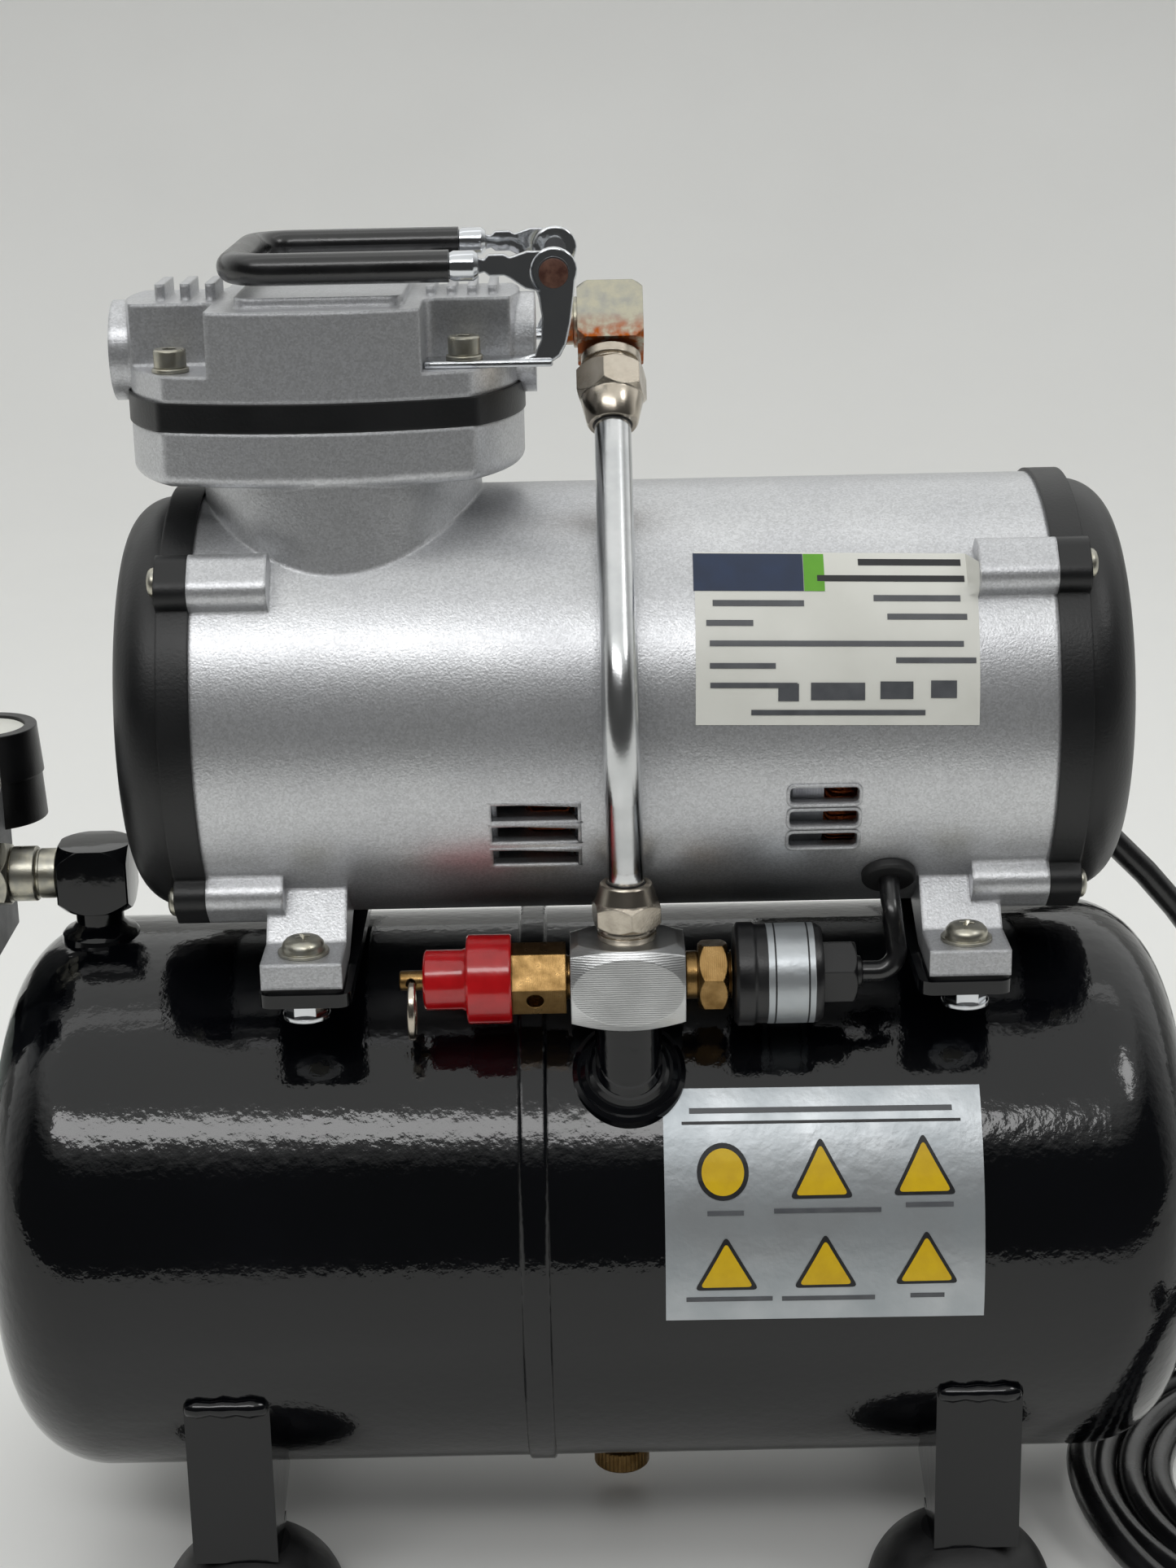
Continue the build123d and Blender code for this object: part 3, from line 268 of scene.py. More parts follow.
# turned brass bar: yellow with tool marks and a little tarnish
turnedBrass = makeFinish("turnedBrass", {
    "tones": ("9a7c50", "7a5f38"), "driftMm": 3.5, "metallic": 1.0, "rough": (0.24, 0.4), "grainMm": 0.4,
    "reliefMm": 0.02, "linesMm": 0.45, "linesAxis": "X", "linesDepth": 0.7, "edgeMm": 0.35})
# red gloss lacquer on the valve's cap
redLacquer = makeFinish("redGlossLacquer", {
    "tones": ("a80c12", "bd1218"), "driftMm": 5, "rough": (0.14, 0.22), "grainMm": 1.2, "reliefMm": 0.03,
    "coat": 0.4, "ior": 1.5, "edgeMm": 0.4})
# moulded rubber: deep black with a dusty bloom
blackRubber = makeFinish("mouldedRubber", {
    "tones": ("0c0c0d", "1c1c1d"), "driftMm": 9, "rough": (0.38, 0.6), "grainMm": 0.8, "reliefMm": 0.04,
    "ior": 1.52})
# dipped vinyl: black, softly shiny
dippedVinyl = makeFinish("dippedVinyl", {
    "tones": ("0b0b0c", "121214"), "driftMm": 12, "rough": (0.22, 0.34), "grainMm": 1.6, "reliefMm": 0.05,
    "coat": 0.3, "coatRough": 0.15, "ior": 1.53})
# injection-moulded black plastic with a spark-eroded texture
blackAbs = makeFinish("mouldedBlackAbs", {
    "tones": ("0e0e10", "151517"), "driftMm": 8, "rough": (0.3, 0.42), "grainMm": 0.5, "reliefMm": 0.03,
    "ior": 1.53, "edgeMm": 0.6})
# clear polycarbonate bowl, slightly grey and scuffed
clearPolycarbonate = makeFinish("clearPolycarbonate", {
    "tones": ("e4e8e6", "d5dad8"), "driftMm": 10, "rough": (0.06, 0.16), "grainMm": 2.0, "reliefMm": 0.03,
    "clear": 0.92, "ior": 1.58})
# plain ground steel for the shaft and laminations
groundSteel = makeFinish("groundSteel", {
    "tones": ("9c9da0", "85868a"), "driftMm": 5, "metallic": 1.0, "rough": (0.28, 0.4), "grainMm": 0.5,
    "reliefMm": 0.02, "linesMm": 0.6, "linesAxis": "X", "linesDepth": 0.8})
# enamelled copper wire, wound in close turns
woundCopper = makeFinish("enamelledCopperWindings", {
    "tones": ("9a4a22", "5c2410"), "driftMm": 2.5, "metallic": 0.9, "rough": (0.25, 0.4), "grainMm": 0.8,
    "reliefMm": 0.5, "linesMm": 0.8, "linesAxis": "Y", "linesDepth": 2.0})
# dark grey painted zinc casting of the regulator
greyCasting = makeFinish("greyPaintedCasting", {
    "tones": ("4a4c4f", "3d3f42"), "driftMm": 8, "metallic": 0.5, "rough": (0.4, 0.5), "grainMm": 0.6,
    "reliefMm": 0.05, "edgeMm": 0.6})
print("finishes made")

finishGroups = [
    (blackEnamel, ("tank_shell",)),
    (dippedEnamel, ("tank_legs", "saddle_plates", "tank_elbow")),
    (blackRubber, ("suction_feet", "isolation_pads", "cable_grommet", "cord_gland")),
    (turnedBrass, ("drain_body", "drain_knob", "relief_body", "relief_stem", "switch_fitting")),
    (silverPaint, ("motor_housing", "cylinder_head", "bearing_bracket")),
    (satinPowder, ("end_rims", "end_cover_left", "end_cover_right", "valve_plate")),
    (zincPlate, ("cover_screws", "mount_screws", "head_screws", "head_elbow", "inlet_nipple")),
    (brightChrome, ("mount_nuts", "handle_brackets", "handle_arms", "gauge_case")),
    (groundSteel, ("pivot_rivets", "stator_core", "shaft_bearings", "motor_shaft", "rotor_core",
     "crank_web", "wrist_pin")),
    (woundCopper, ("stator_windings",)),
    (blackAbs, ("cooling_fan", "switch_body", "switch_box", "rocker", "regulator_knob", "bowl_drain",
     "gauge_needle")),
    (milledAluminium, ("connecting_rod", "piston", "cylinder_liner", "tee_block")),
    (drawnAluminium, ("outlet_tube",)),
    (nickelPlate, ("tube_nuts", "relief_ring", "hose_outlet")),
    (redLacquer, ("relief_cap",)),
    (greyCasting, ("regulator_body",)),
    (clearPolycarbonate, ("regulator_bowl",)),
    (dippedVinyl, ("handle_grip", "switch_cable", "power_plug", "power_cord", "cord_coil"))]
for finish, names in finishGroups:
    for nodeName in names:
        nodes[nodeName].data.materials.clear()
        nodes[nodeName].data.materials.append(finish)
print("finishes given to the nodes")


# power cord: out of the gland, down to the table, three and a half loose turns and a half turn on top
cordPlan = {
    "route": [(120.7, 53.8, 180.4), (158, 56, 154), (196, 60, 105), (222, 60, 45)],
    "landing": [(45, 60, 20), (15, 54, 12.5), (-10, 49.5, 10.6), (-32, 46.9, 6)],
    "middle": (212, -18), "stepsPerTurn": 16, "startAngle": -50, "lowTurns": 3.3, "startR": 47.2,
    "pitch": 7.15, "lowZ": 3.5, "climbAngle": 15,
    "climb": [(70.9, 6.5), (70.9, 10.2), (69.6, 10.6), (67.6, 10.6)],
    "highZ": 10.6, "topR": 67.2, "topStep": 20, "topEnd": -1428,
    "tail": [(278.2, -30, 10.4), (276, -50, 9.8), (270.5, -66, 9.0), (269, -77, 9.0)],
    "radius": 3.4, "length": 1.8}


def aroundCoil(angle, radius, z):
    turn = math.radians(angle)
    middleX, middleY = cordPlan["middle"]
    return (middleX + radius * math.cos(turn), middleY + radius * math.sin(turn), z)


cordPoints = list(cordPlan["route"])
for angle, radius, z in cordPlan["landing"]:
    cordPoints.append(aroundCoil(angle, radius, z))
lowSteps = int(cordPlan["lowTurns"] * cordPlan["stepsPerTurn"])
for step in range(lowSteps + 1):
    turnsLaid = step / cordPlan["stepsPerTurn"]
    cordPoints.append(aroundCoil(cordPlan["startAngle"] - 360 * turnsLaid,
                                 cordPlan["startR"] + cordPlan["pitch"] * turnsLaid, cordPlan["lowZ"]))
topAngle = cordPlan["startAngle"] - 360 * lowSteps / cordPlan["stepsPerTurn"]
lastAngle = topAngle
for radius, z in cordPlan["climb"]:
    lastAngle -= cordPlan["climbAngle"]
    cordPoints.append(aroundCoil(lastAngle, radius, z))
while lastAngle - cordPlan["topStep"] > cordPlan["topEnd"]:
    lastAngle -= cordPlan["topStep"]
    cordPoints.append(aroundCoil(lastAngle, cordPlan["topR"], cordPlan["highZ"]))
cordPoints += cordPlan["tail"]
cordCurve = bpy.data.curves.new("powerLead", "CURVE")
cordCurve.dimensions = "3D"
cordCurve.bevel_depth = cordPlan["radius"] / 1000
cordCurve.bevel_resolution = 5
cordCurve.resolution_u = 5
leadLine = cordCurve.splines.new("NURBS")
leadLine.points.add(len(cordPoints) - 1)
for point, spot in zip(leadLine.points, cordPoints):
    point.co = (spot[0] / 1000, spot[1] / 1000, spot[2] / 1000, 1)
leadLine.order_u = 3
leadLine.use_endpoint_u = True
powerLead = bpy.data.objects.new("powerLead", cordCurve)
bpy.context.scene.collection.objects.link(powerLead)
cordCurve.materials.append(dippedVinyl)
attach(powerLead, "base")
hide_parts("power_cord", "cord_coil")
print("power lead laid,", len(cordPoints), "points")


def pressOnto(piece, target, offset):
    # along y onto the curved metal
    applyModifier(piece, "SHRINKWRAP", wrap_method="PROJECT", use_project_y=True, use_negative_direction=True,
                  use_positive_direction=True, target=target, offset=offset)


def makeInk(name, first, second, driftMm, roughest):
    return makeFinish(name, {"tones": (first, second), "driftMm": driftMm, "rough": (0.4, roughest),
                             "grainMm": 0.8, "reliefMm": 0.02, "ior": 1.5})


# printed labels, laid on the curved metal
printPlan = {"startY": -0.12, "lift": 0.26, "secondInk": 0.12, "sheetThick": 0.00008}


def layLabel(name, plan, finish, target):
    # a flat sheet in front of the metal, pressed back onto it
    start = (plan["middle"][0] / 1000, printPlan["startY"], plan["middle"][1] / 1000)
    selectNone()
    if plan.get("corners"):
        bpy.ops.mesh.primitive_circle_add(vertices=plan["corners"], radius=plan["radius"] / 1000,
                                          fill_type="NGON", location=start, rotation=(math.pi / 2, 0, 0))
        piece = bpy.context.object
        setTransform()
        editMode(True)
        bpy.ops.mesh.select_all(action="SELECT")
        if plan["corners"] < 8:
            bpy.ops.mesh.bevel(offset=plan["radius"] / 7000, segments=3, affect="VERTICES")
        bpy.ops.mesh.poke()
        bpy.ops.mesh.subdivide(number_cuts=5)
        editMode(False)
    else:
        wide, tall = plan["size"]
        bpy.ops.mesh.primitive_grid_add(x_subdivisions=max(2, int(wide / 2)),
                                        y_subdivisions=max(2, int(tall / 1.5)), size=1, location=start,
                                        rotation=(math.pi / 2, math.radians(plan["tilt"]), 0))
        piece = bpy.context.object
        squeeze(piece, (wide / 1000, tall / 1000, 1))
    pressOnto(piece, target, plan["lift"] / 1000)
    applyModifier(piece, "SOLIDIFY", thickness=printPlan["sheetThick"], offset=0.0)
    finishPiece(piece, name, finish, angle=60)


def printBar(name, middle, size, tilt, ink, target):
    layLabel(name, {"middle": middle, "size": size, "tilt": tilt, "lift": printPlan["lift"]}, ink,
             target)


foilPlan = {"middle": (75.0, 103.8), "size": (70.2, 48.2), "tilt": 0.3, "lift": 0.12}
# a disc and five triangles: middle, corners and radius of each
foilMarks = [((52.8, 112.5), 40, 5.7), ((74.4, 111.0), 3, 8.2), ((97.0, 111.3), 3, 8.2),
             ((53.2, 91.2), 3, 8.2), ((75.0, 91.4), 3, 8.2), ((97.2, 91.8), 3, 8.2)]
# brushed silver foil label: soft silver that catches the window
silverFoil = makeFinish("printedSilverFoil", {
    "tones": ("b9bdc0", "aab0b4"), "driftMm": 14, "metallic": 0.75, "rough": (0.34, 0.46), "grainMm": 3.0,
    "reliefMm": 0.12})
blackInk = makeInk("printedBlackInk", "101114", "1a1b1f", 4, 0.5)
yellowInk = makeInk("printedYellowInk", "d9b400", "cda600", 4, 0.5)
greyInk = makeInk("printedGreyInk", "4c4e52", "585a5e", 4, 0.5)
tank = nodes["tank_shell"]
layLabel("foilLabel", foilPlan, silverFoil, tank)
printBar("foilRule", (74.8, 121.8), (61.5, 0.55), foilPlan["tilt"], blackInk, tank)
for step, (middle, corners, radius) in enumerate(foilMarks):
    for layer, (share, ink) in enumerate([(1.0, blackInk), (0.82, yellowInk)]):
        mark = {"middle": middle, "corners": corners, "radius": radius * share,
                "lift": printPlan["lift"] + printPlan["secondInk"] * layer}
        layLabel("foilMark%d_%d" % (step, layer), mark, ink, tank)

platePlan = {"middle": (78.7, 227.6), "size": (60.4, 33.4), "tilt": 1.2, "lift": 0.12}
whitePaper = makeFinish("coatedWhitePaper", {
    "tones": ("e6e6df", "dadad2"), "driftMm": 22, "rough": (0.42, 0.5), "grainMm": 2.0, "reliefMm": 0.03,
    "ior": 1.5})
navyInk = makeInk("printedNavyInk", "0f2442", "132a4c", 6, 0.48)
greenInk = makeInk("printedGreenInk", "5aa018", "63ab20", 6, 0.48)
motor = nodes["motor_housing"]
layLabel("ratingLabel", platePlan, whitePaper, motor)
printBar("ratingNavy", (60.3, 241.2), (23.6, 6.6), platePlan["tilt"], navyInk, motor)
printBar("ratingGreen", (74.4, 240.9), (4.4, 6.6), platePlan["tilt"], greenInk, motor)
# plain bars where a maker would print facts: left end, width and height up, grey ones first
greyRows = [(52.4, 19.5, 235.6), (50.9, 10.0, 232.0), (51.5, 54.0, 227.6), (51.4, 14.0, 223.6),
            (51.4, 18.5, 219.6), (86.8, 18.5, 235.9), (89.5, 17.0, 232.4), (91.0, 17.0, 223.9),
            (60.0, 37.0, 213.6)]
blackRows = [(84.0, 22.0, 242.4), (75.0, 31.5, 239.6)]
for step, (left, wide, z) in enumerate(greyRows + blackRows):
    ink = greyInk if step < len(greyRows) else blackInk
    printBar("ratingBar%d" % step, (left + wide / 2, z), (wide, 1.1), platePlan["tilt"], ink, motor)
for step, (x, wide) in enumerate([(68.0, 4.4), (78.5, 11.5), (91.0, 7.0), (101.0, 5.5)]):
    printBar("ratingBadge%d" % step, (x, 218.0), (wide, 3.6), platePlan["tilt"], greyInk, motor)
foilRows = [(53.2, 8.0, 104.2), (75.6, 23.5, 104.4), (98.0, 10.5, 105.2), (53.8, 19.0, 84.9),
            (75.6, 20.5, 84.7), (97.4, 7.5, 84.9), (74.8, 58.0, 124.0)]
for step, (x, wide, z) in enumerate(foilRows):
    printBar("foilBar%d" % step, (x, z), (wide, 1.0), foilPlan["tilt"], greyInk, tank)
print("labels laid")


# turned and milled parts
def turned(profile, sides=48):
    # a bar along +Z whose end is drawn out and resized once for each step of the profile, in millimetres
    selectNone()
    (firstR, firstZ), (nextR, nextZ) = profile[:2]
    bpy.ops.mesh.primitive_cylinder_add(vertices=sides, radius=firstR / 1000, depth=(nextZ - firstZ) / 1000,
                                        location=(0, 0, (firstZ + nextZ) / 2000))
    piece = bpy.context.object
    setTransform()
    pickFaces(piece, lambda middle, normal: normal.z > 0.9)
    share = nextR / firstR
    bpy.ops.transform.resize(value=(share, share, 1), center_override=(0, 0, nextZ / 1000))
    for (oldR, oldZ), (newR, newZ) in zip(profile[1:], profile[2:]):
        bpy.ops.mesh.extrude_region_move(TRANSFORM_OT_translate={"value": (0, 0, (newZ - oldZ) / 1000)})
        share = newR / oldR
        bpy.ops.transform.resize(value=(share, share, 1), center_override=(0, 0, newZ / 1000))
    editMode(False)
    return piece


def putAt(piece, spot, direction, spin=0.0):
    # the bar's own +Z is turned to the direction and its start put at the spot, in millimetres
    turn = Vector(direction).normalized().to_track_quat("Z", "Y").to_matrix().to_4x4()
    piece.matrix_world = (Matrix.Translation([v / 1000 for v in spot]) @ turn
                          @ Matrix.Rotation(math.radians(spin), 4, "Z"))
    onlySelect(piece)
    setTransform()
    return piece


def cutWith(piece, tool, operation="DIFFERENCE"):
    applyModifier(piece, "BOOLEAN", object=tool, operation=operation, solver="EXACT")
    bpy.data.objects.remove(tool)
    return piece


def hexBar(acrossFlats, length, chamfer, low=True, high=True):
    # a hexagon bar whose corners are turned off, which leaves the curved scallops of a real nut
    corner = acrossFlats / math.sqrt(3)
    flat = acrossFlats / 2
    bar = turned([(corner, 0), (corner, length)], 6)
    start = (flat * 0.97, 0) if low else (corner + 1, 0)
    end = (flat * 0.97, length) if high else (corner + 1, length)
    barrel = turned([start, (corner + 0.3, chamfer), (corner + 0.3, length - chamfer), end], 64)
    return cutWith(bar, barrel, "INTERSECT")


# ways and places that several fittings share
upward = (0, 0, 1)
rightward = (1, 0, 0)
backward = (0, 1, 0)
frontward = (0, -1, 0)
teeRow = (-46, 153.8)  # y and z of the row of fittings through the tee
tubeLean = math.radians(40)
outletDown = Vector((0, -math.sin(tubeLean), -math.cos(tubeLean)))
outletTop = Vector((32, 0, 291))
upperNutSpot = outletTop + outletDown * 12.5
lowerNutSpot = Vector((32.8, -46, 163))
hexAcross = 14.0
upperNut = putAt(hexBar(hexAcross, 7.5, 1.6), upperNutSpot, outletDown, 12)
upperCone = putAt(turned([(6.7, 7.0), (6.9, 7.6), (5.6, 13.4), (5.2, 14.0), (4.3, 14.0), (4.3, 12.5)]),
                  upperNutSpot, outletDown)
upperCollar = putAt(turned([(6.2, -3.6), (6.6, -3.2), (6.6, -1.2), (5.9, -0.9), (5.9, 0.4)]),
                    upperNutSpot, outletDown)
lowerNut = putAt(hexBar(hexAcross, 5.8, 1.5), lowerNutSpot + Vector((0, 0, 2.9)), upward, 8)
lowerCone = putAt(turned([(6.6, 8.2), (6.9, 8.7), (5.7, 12.4), (5.3, 12.7), (4.3, 12.7), (4.3, 11.5)]),
                  lowerNutSpot, upward)
lowerCollar = putAt(turned([(6.3, 0), (6.5, 0.4), (6.5, 1.3), (5.9, 1.5), (5.9, 1.9), (6.5, 2.1),
                            (6.2, 3.2)]), lowerNutSpot, upward)
finishPiece(joinAll([upperNut, upperCone, upperCollar, lowerNut, lowerCone, lowerCollar]), "compressionNuts",
            nickelPlate, replaced=["tube_nuts"])
sealUp = putAt(turned([(4.25, 13.3), (4.25, 14.15), (4.05, 14.2)]), upperNutSpot, outletDown)
sealLow = putAt(turned([(4.25, 12.0), (4.25, 12.85), (4.05, 12.9)]), lowerNutSpot, upward)
finishPiece(joinAll([sealUp, sealLow]), "tubeSeals", blackRubber)

# tee block: a bar section with oval facets turned on its faces
teePlan = {"middle": (32.8, -46.0, 153.75), "size": (25.0, 20.5, 18.5), "chamfer": 2.2,
           "frontFacet": (12.2, 7.6, 1), "topFacet": (12.2, 9.2, 1)}
teeBlock = flatBox(teePlan["size"])
for tilt, depth, facet in ((90, teePlan["size"][1], teePlan["frontFacet"]),
                           (0, teePlan["size"][2], teePlan["topFacet"])):
    end = depth / 2
    shoulder = end - teePlan["chamfer"]
    barrel = turned([(1.0, -end), (1.5, -shoulder), (1.5, shoulder), (1.0, end)], 72)
    cutWith(teeBlock, turnBy(squeeze(barrel, facet), degreesX=tilt), "INTERSECT")
putAt(teeBlock, teePlan["middle"], upward)
finishPiece(teeBlock, "milledTee", milledAluminium, replaced=["tee_block"], angle=20)

# brass threads that show beside the tee
threadRidges = [(4.75 + 0.35 * (step % 2), 0.42 * step) for step in range(6)]
leftThreads = putAt(turned(threadRidges, 40), (18.25, *teeRow), rightward)
rightThreads = putAt(turned(threadRidges, 40), (45.3, *teeRow), rightward)
finishPiece(joinAll([leftThreads, rightThreads]), "brassThreads", turnedBrass)

# the switch's brass fitting: collar, chamfered hexagon, waist
switchCollar = putAt(turned([(5.0, 0.2), (5.3, 0.5), (5.3, 2.7), (4.9, 3.1)]), (45.3, *teeRow), rightward)
switchHex = putAt(hexBar(hexAcross, 6.4, 1.5), (48.3, *teeRow), rightward, 20)
switchWaist = putAt(turned([(5.0, 0), (4.6, 0.6), (5.4, 1.0)]), (54.5, *teeRow), rightward)
finishPiece(joinAll([switchCollar, switchHex, switchWaist]), "switchFitting", turnedBrass,
            replaced=["switch_fitting"])

# pressure switch: lipped black drum, printed silver band, six-sided cap
drumSpot = (56.0, *teeRow)
switchDrum = putAt(turned([(6.0, 0), (10.6, 0.2), (11.4, 0.9), (11.4, 4.2), (10.9, 4.9), (10.9, 18.2),
                           (10.2, 19.3), (6.5, 19.5)], 64), drumSpot, rightward)
switchCap = putAt(hexBar(13.0, 7.6, 1.3, low=False), (75.3, *teeRow), rightward, 10)
switchSleeve = putAt(turned([(3.6, 0), (3.4, 1.4), (2.5, 1.8)]), (82.6, *teeRow), rightward)
finishPiece(joinAll([switchDrum, switchCap, switchSleeve]), "pressureSwitch", blackAbs,
            replaced=["switch_body"])
switchBand = putAt(turned([(10.92, 7.2), (11.02, 7.3), (11.02, 17.4), (10.92, 17.5)], 64), drumSpot,
                   rightward)
finishPiece(switchBand, "switchBand", silverFoil)
bandRules = [putAt(turned([(10.95, at), (11.06, at + 0.05), (11.06, at + 0.4), (10.95, at + 0.45)], 64),
                   drumSpot, rightward) for at in (8.6, 15.8)]
finishPiece(joinAll(bandRules), "switchBandRules", blackInk)

# red valve cap, turned in two diameters with soft edges
capPlan = {"right": 7.5, "profile": [(5.2, -19.5), (6.0, -19.4), (6.6, -18.9), (6.6, -11.0), (7.0, -10.2),
                                     (9.4, -9.9), (9.8, -9.5), (9.8, -0.5), (9.5, -0.1), (5.2, 0)]}
valveCap = putAt(turned(capPlan["profile"], 72), (capPlan["right"], *teeRow), rightward)
finishPiece(valveCap, "valveCap", redLacquer, replaced=["relief_cap"])

# split pull ring: two close turns of wire with a sprung end
ringPlan = {"hole": (-14.7, -46.0, 153.95), "radius": 6.6, "wire": 0.62, "turns": 2.15, "stepsPerTurn": 16,
            "startTurn": 0.5, "spread": 2.1, "sprungEnd": 0.9}
ringCurve = bpy.data.curves.new("splitRing", "CURVE")
ringCurve.dimensions = "3D"
ringCurve.bevel_depth = ringPlan["wire"] / 1000
ringCurve.bevel_resolution = 4
ringCurve.use_fill_caps = True
ringLine = ringCurve.splines.new("NURBS")
ringSteps = int(ringPlan["turns"] * ringPlan["stepsPerTurn"])
ringLine.points.add(ringSteps)
holeX, holeY, holeZ = ringPlan["hole"]
for step in range(ringSteps + 1):
    turn = 2 * math.pi * step / ringPlan["stepsPerTurn"] + ringPlan["startTurn"]
    aside = (step / ringSteps - 0.5) * ringPlan["spread"] * ringPlan["wire"]
    reach = ringPlan["radius"] * 1.02 + (ringPlan["sprungEnd"] if step == ringSteps else 0.0)
    ringLine.points[step].co = ((holeX + aside) / 1000, (holeY + reach * math.sin(turn)) / 1000,
                                (holeZ - ringPlan["radius"] + reach * math.cos(turn)) / 1000, 1)
ringLine.order_u = 3
ringLine.use_endpoint_u = True
splitRing = bpy.data.objects.new("splitRing", ringCurve)
bpy.context.scene.collection.objects.link(splitRing)
ringCurve.materials.append(nickelPlate)
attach(splitRing, "pull_ring")
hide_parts("relief_ring")


# pan-head screws with a crossed recess
def panScrew(headR, headHeight, shank, shankLength, washerR=0.0):
    dome = [(headR, 0), (headR, headHeight * 0.3), (headR * 0.95, headHeight * 0.55),
            (headR * 0.8, headHeight * 0.8), (headR * 0.55, headHeight * 0.95), (headR * 0.2, headHeight)]
    head = turned(dome, 32)
    for bladeTurn in (20, 110):
        selectNone()
        bpy.ops.mesh.primitive_cone_add(vertices=4, radius1=headR * 0.00012, radius2=headR * 0.00062,
                                        depth=headHeight * 0.0009, location=(0, 0, headHeight * 0.0007),
                                        rotation=(0, 0, math.radians(45)))
        blade = bpy.context.object
        setTransform()
        cutWith(head, turnBy(squeeze(blade, (1, 0.26, 1)), degreesZ=bladeTurn))
    parts = [head, turned([(shank, -shankLength), (shank, 0.05)], 20)]
    if washerR:
        innerR = washerR * 0.97
        parts.append(turned([(innerR, -0.8), (washerR, -0.65), (washerR, -0.15), (innerR, 0)], 40))
    return joinAll(parts)


def copyOf(piece):
    twin = piece.copy()
    twin.data = piece.data.copy()
    bpy.context.scene.collection.objects.link(twin)
    return twin


def screwSet(pattern, places, name, replaced=()):
    # one screw copied to every place (spot, direction and spin), and all of them joined
    copies = [putAt(copyOf(pattern), *place) for place in places]
    bpy.data.objects.remove(pattern)
    finishPiece(joinAll(copies), name, zincPlate, replaced=replaced)


footPlaces = [(x, y, 162.8) for x in (-37.7, 106.7) for y in (-49, 49)]
screwSet(panScrew(4.7, 3.0, 2.5, 16.0, washerR=5.6),
         [(spot, upward, 25 * step) for step, spot in enumerate(footPlaces)], "footScrews", ["mount_screws"])
coverPlan = {"faces": ((-1, -66.5), (1, 133.0)), "ringR": 51, "middleZ": 206}
coverPattern = panScrew(3.3, 1.9, 1.5, 16.5)
coverPlaces = []
for side, face in coverPlan["faces"]:
    for quarter in (45, 135, 225, 315):
        up = math.radians(quarter)
        aside, above = coverPlan["ringR"] * math.cos(up), coverPlan["ringR"] * math.sin(up)
        coverPlaces.append(((face, aside, coverPlan["middleZ"] + above), (side, 0, 0), quarter * 1.7))
screwSet(coverPattern, coverPlaces, "coverScrews", ["cover_screws"])
print("fittings and screws modelled")


# screw heads with a hexagon socket and a split washer under them
def socketScrew(headR, headHeight, socket):
    head = turned([(headR * 0.9, 0), (headR, 0.15), (headR, headHeight - 0.4), (headR * 0.9, headHeight)])
    recess = turned([(socket / math.sqrt(3), 0), (socket / math.sqrt(3), headHeight)], 6)
    recess.location = (0, 0, headHeight * 0.45 / 1000)
    setTransform()
    cutWith(head, recess)
    washer = turned([(headR * 1.08, -1.0), (headR * 1.14, -0.85), (headR * 1.14, -0.2), (headR * 1.08, 0)])
    slit = turned([(0.3, -2), (0.3, 1)], 4)
    slit.scale = (8, 1, 1)
    slit.location = (headR * 1.1 / 1000, 0, 0)
    setTransform()
    cutWith(washer, slit)
    return joinAll([head, washer, turned([(2.0, -24.0), (2.0, 0.1)], 20)])


headSeats = ((-62.5, 285.0), (0.5, 286.5))
washerHeight = 1.0
screwSet(socketScrew(3.5, 4.0, 3.0),
         [((x, y, seat + washerHeight), upward, x + 2 * y) for x, seat in headSeats for y in (-22, 22)],
         "headScrews", ["head_screws"])


# pressed plates cut to an outline and softened at the edges
def pressedPlate(outline, thickness, soft, y):
    selectNone()
    bpy.ops.mesh.primitive_circle_add(vertices=len(outline), radius=0.01, fill_type="NGON")
    plate = bpy.context.object
    for vertex, (x, z) in zip(plate.data.vertices, outline):
        vertex.co = (x / 1000, y / 1000, z / 1000)
    editMode(True)
    bpy.ops.mesh.select_all(action="SELECT")
    bpy.ops.mesh.extrude_region_move(TRANSFORM_OT_translate={"value": (0, thickness / 1000, 0)})
    bpy.ops.mesh.select_all(action="SELECT")
    bpy.ops.mesh.normals_make_consistent(inside=False)
    editMode(False)
    applyModifier(plate, "BEVEL", width=soft / 1000, segments=4, limit_method="ANGLE",
                  angle_limit=math.radians(50))
    return plate


def roundEye(centre, radius, fromAngle, toAngle, steps):
    turns = [math.radians(fromAngle + (toAngle - fromAngle) * step / steps) for step in range(steps + 1)]
    return [(centre[0] + radius * math.cos(turn), centre[1] + radius * math.sin(turn)) for turn in turns]


handlePlan = {"pivot": (20.0, 305.0), "eyeR": 5.0, "plateY": 23.1, "plate": 1.5, "armY": 24.9,
              "armPlate": 1.8, "footY": 26.0, "footWidth": 9.0, "screwX": 0.5, "screwY": 22, "screwHole": 2.1,
              "socketX": -14, "socketY": 26, "socketZ": 306.6, "rivetY": 29.25}
bracketOutline = (roundEye(handlePlan["pivot"], handlePlan["eyeR"], 200, -25, 16)
                  + [(24.2, 300.0), (23.4, 294.0), (22.4, 289.5), (21.0, 286.9), (18.6, 285.3), (15.0, 285.0),
                     (6.0, 285.0), (6.0, 286.5), (12.0, 286.6), (15.6, 287.6), (17.0, 290.5), (17.3, 295.0),
                     (16.6, 299.6)])
footOutline = [(-8, 285), (19.4, 285), (19.4, 286.5), (-8, 286.5)]
brackets = []
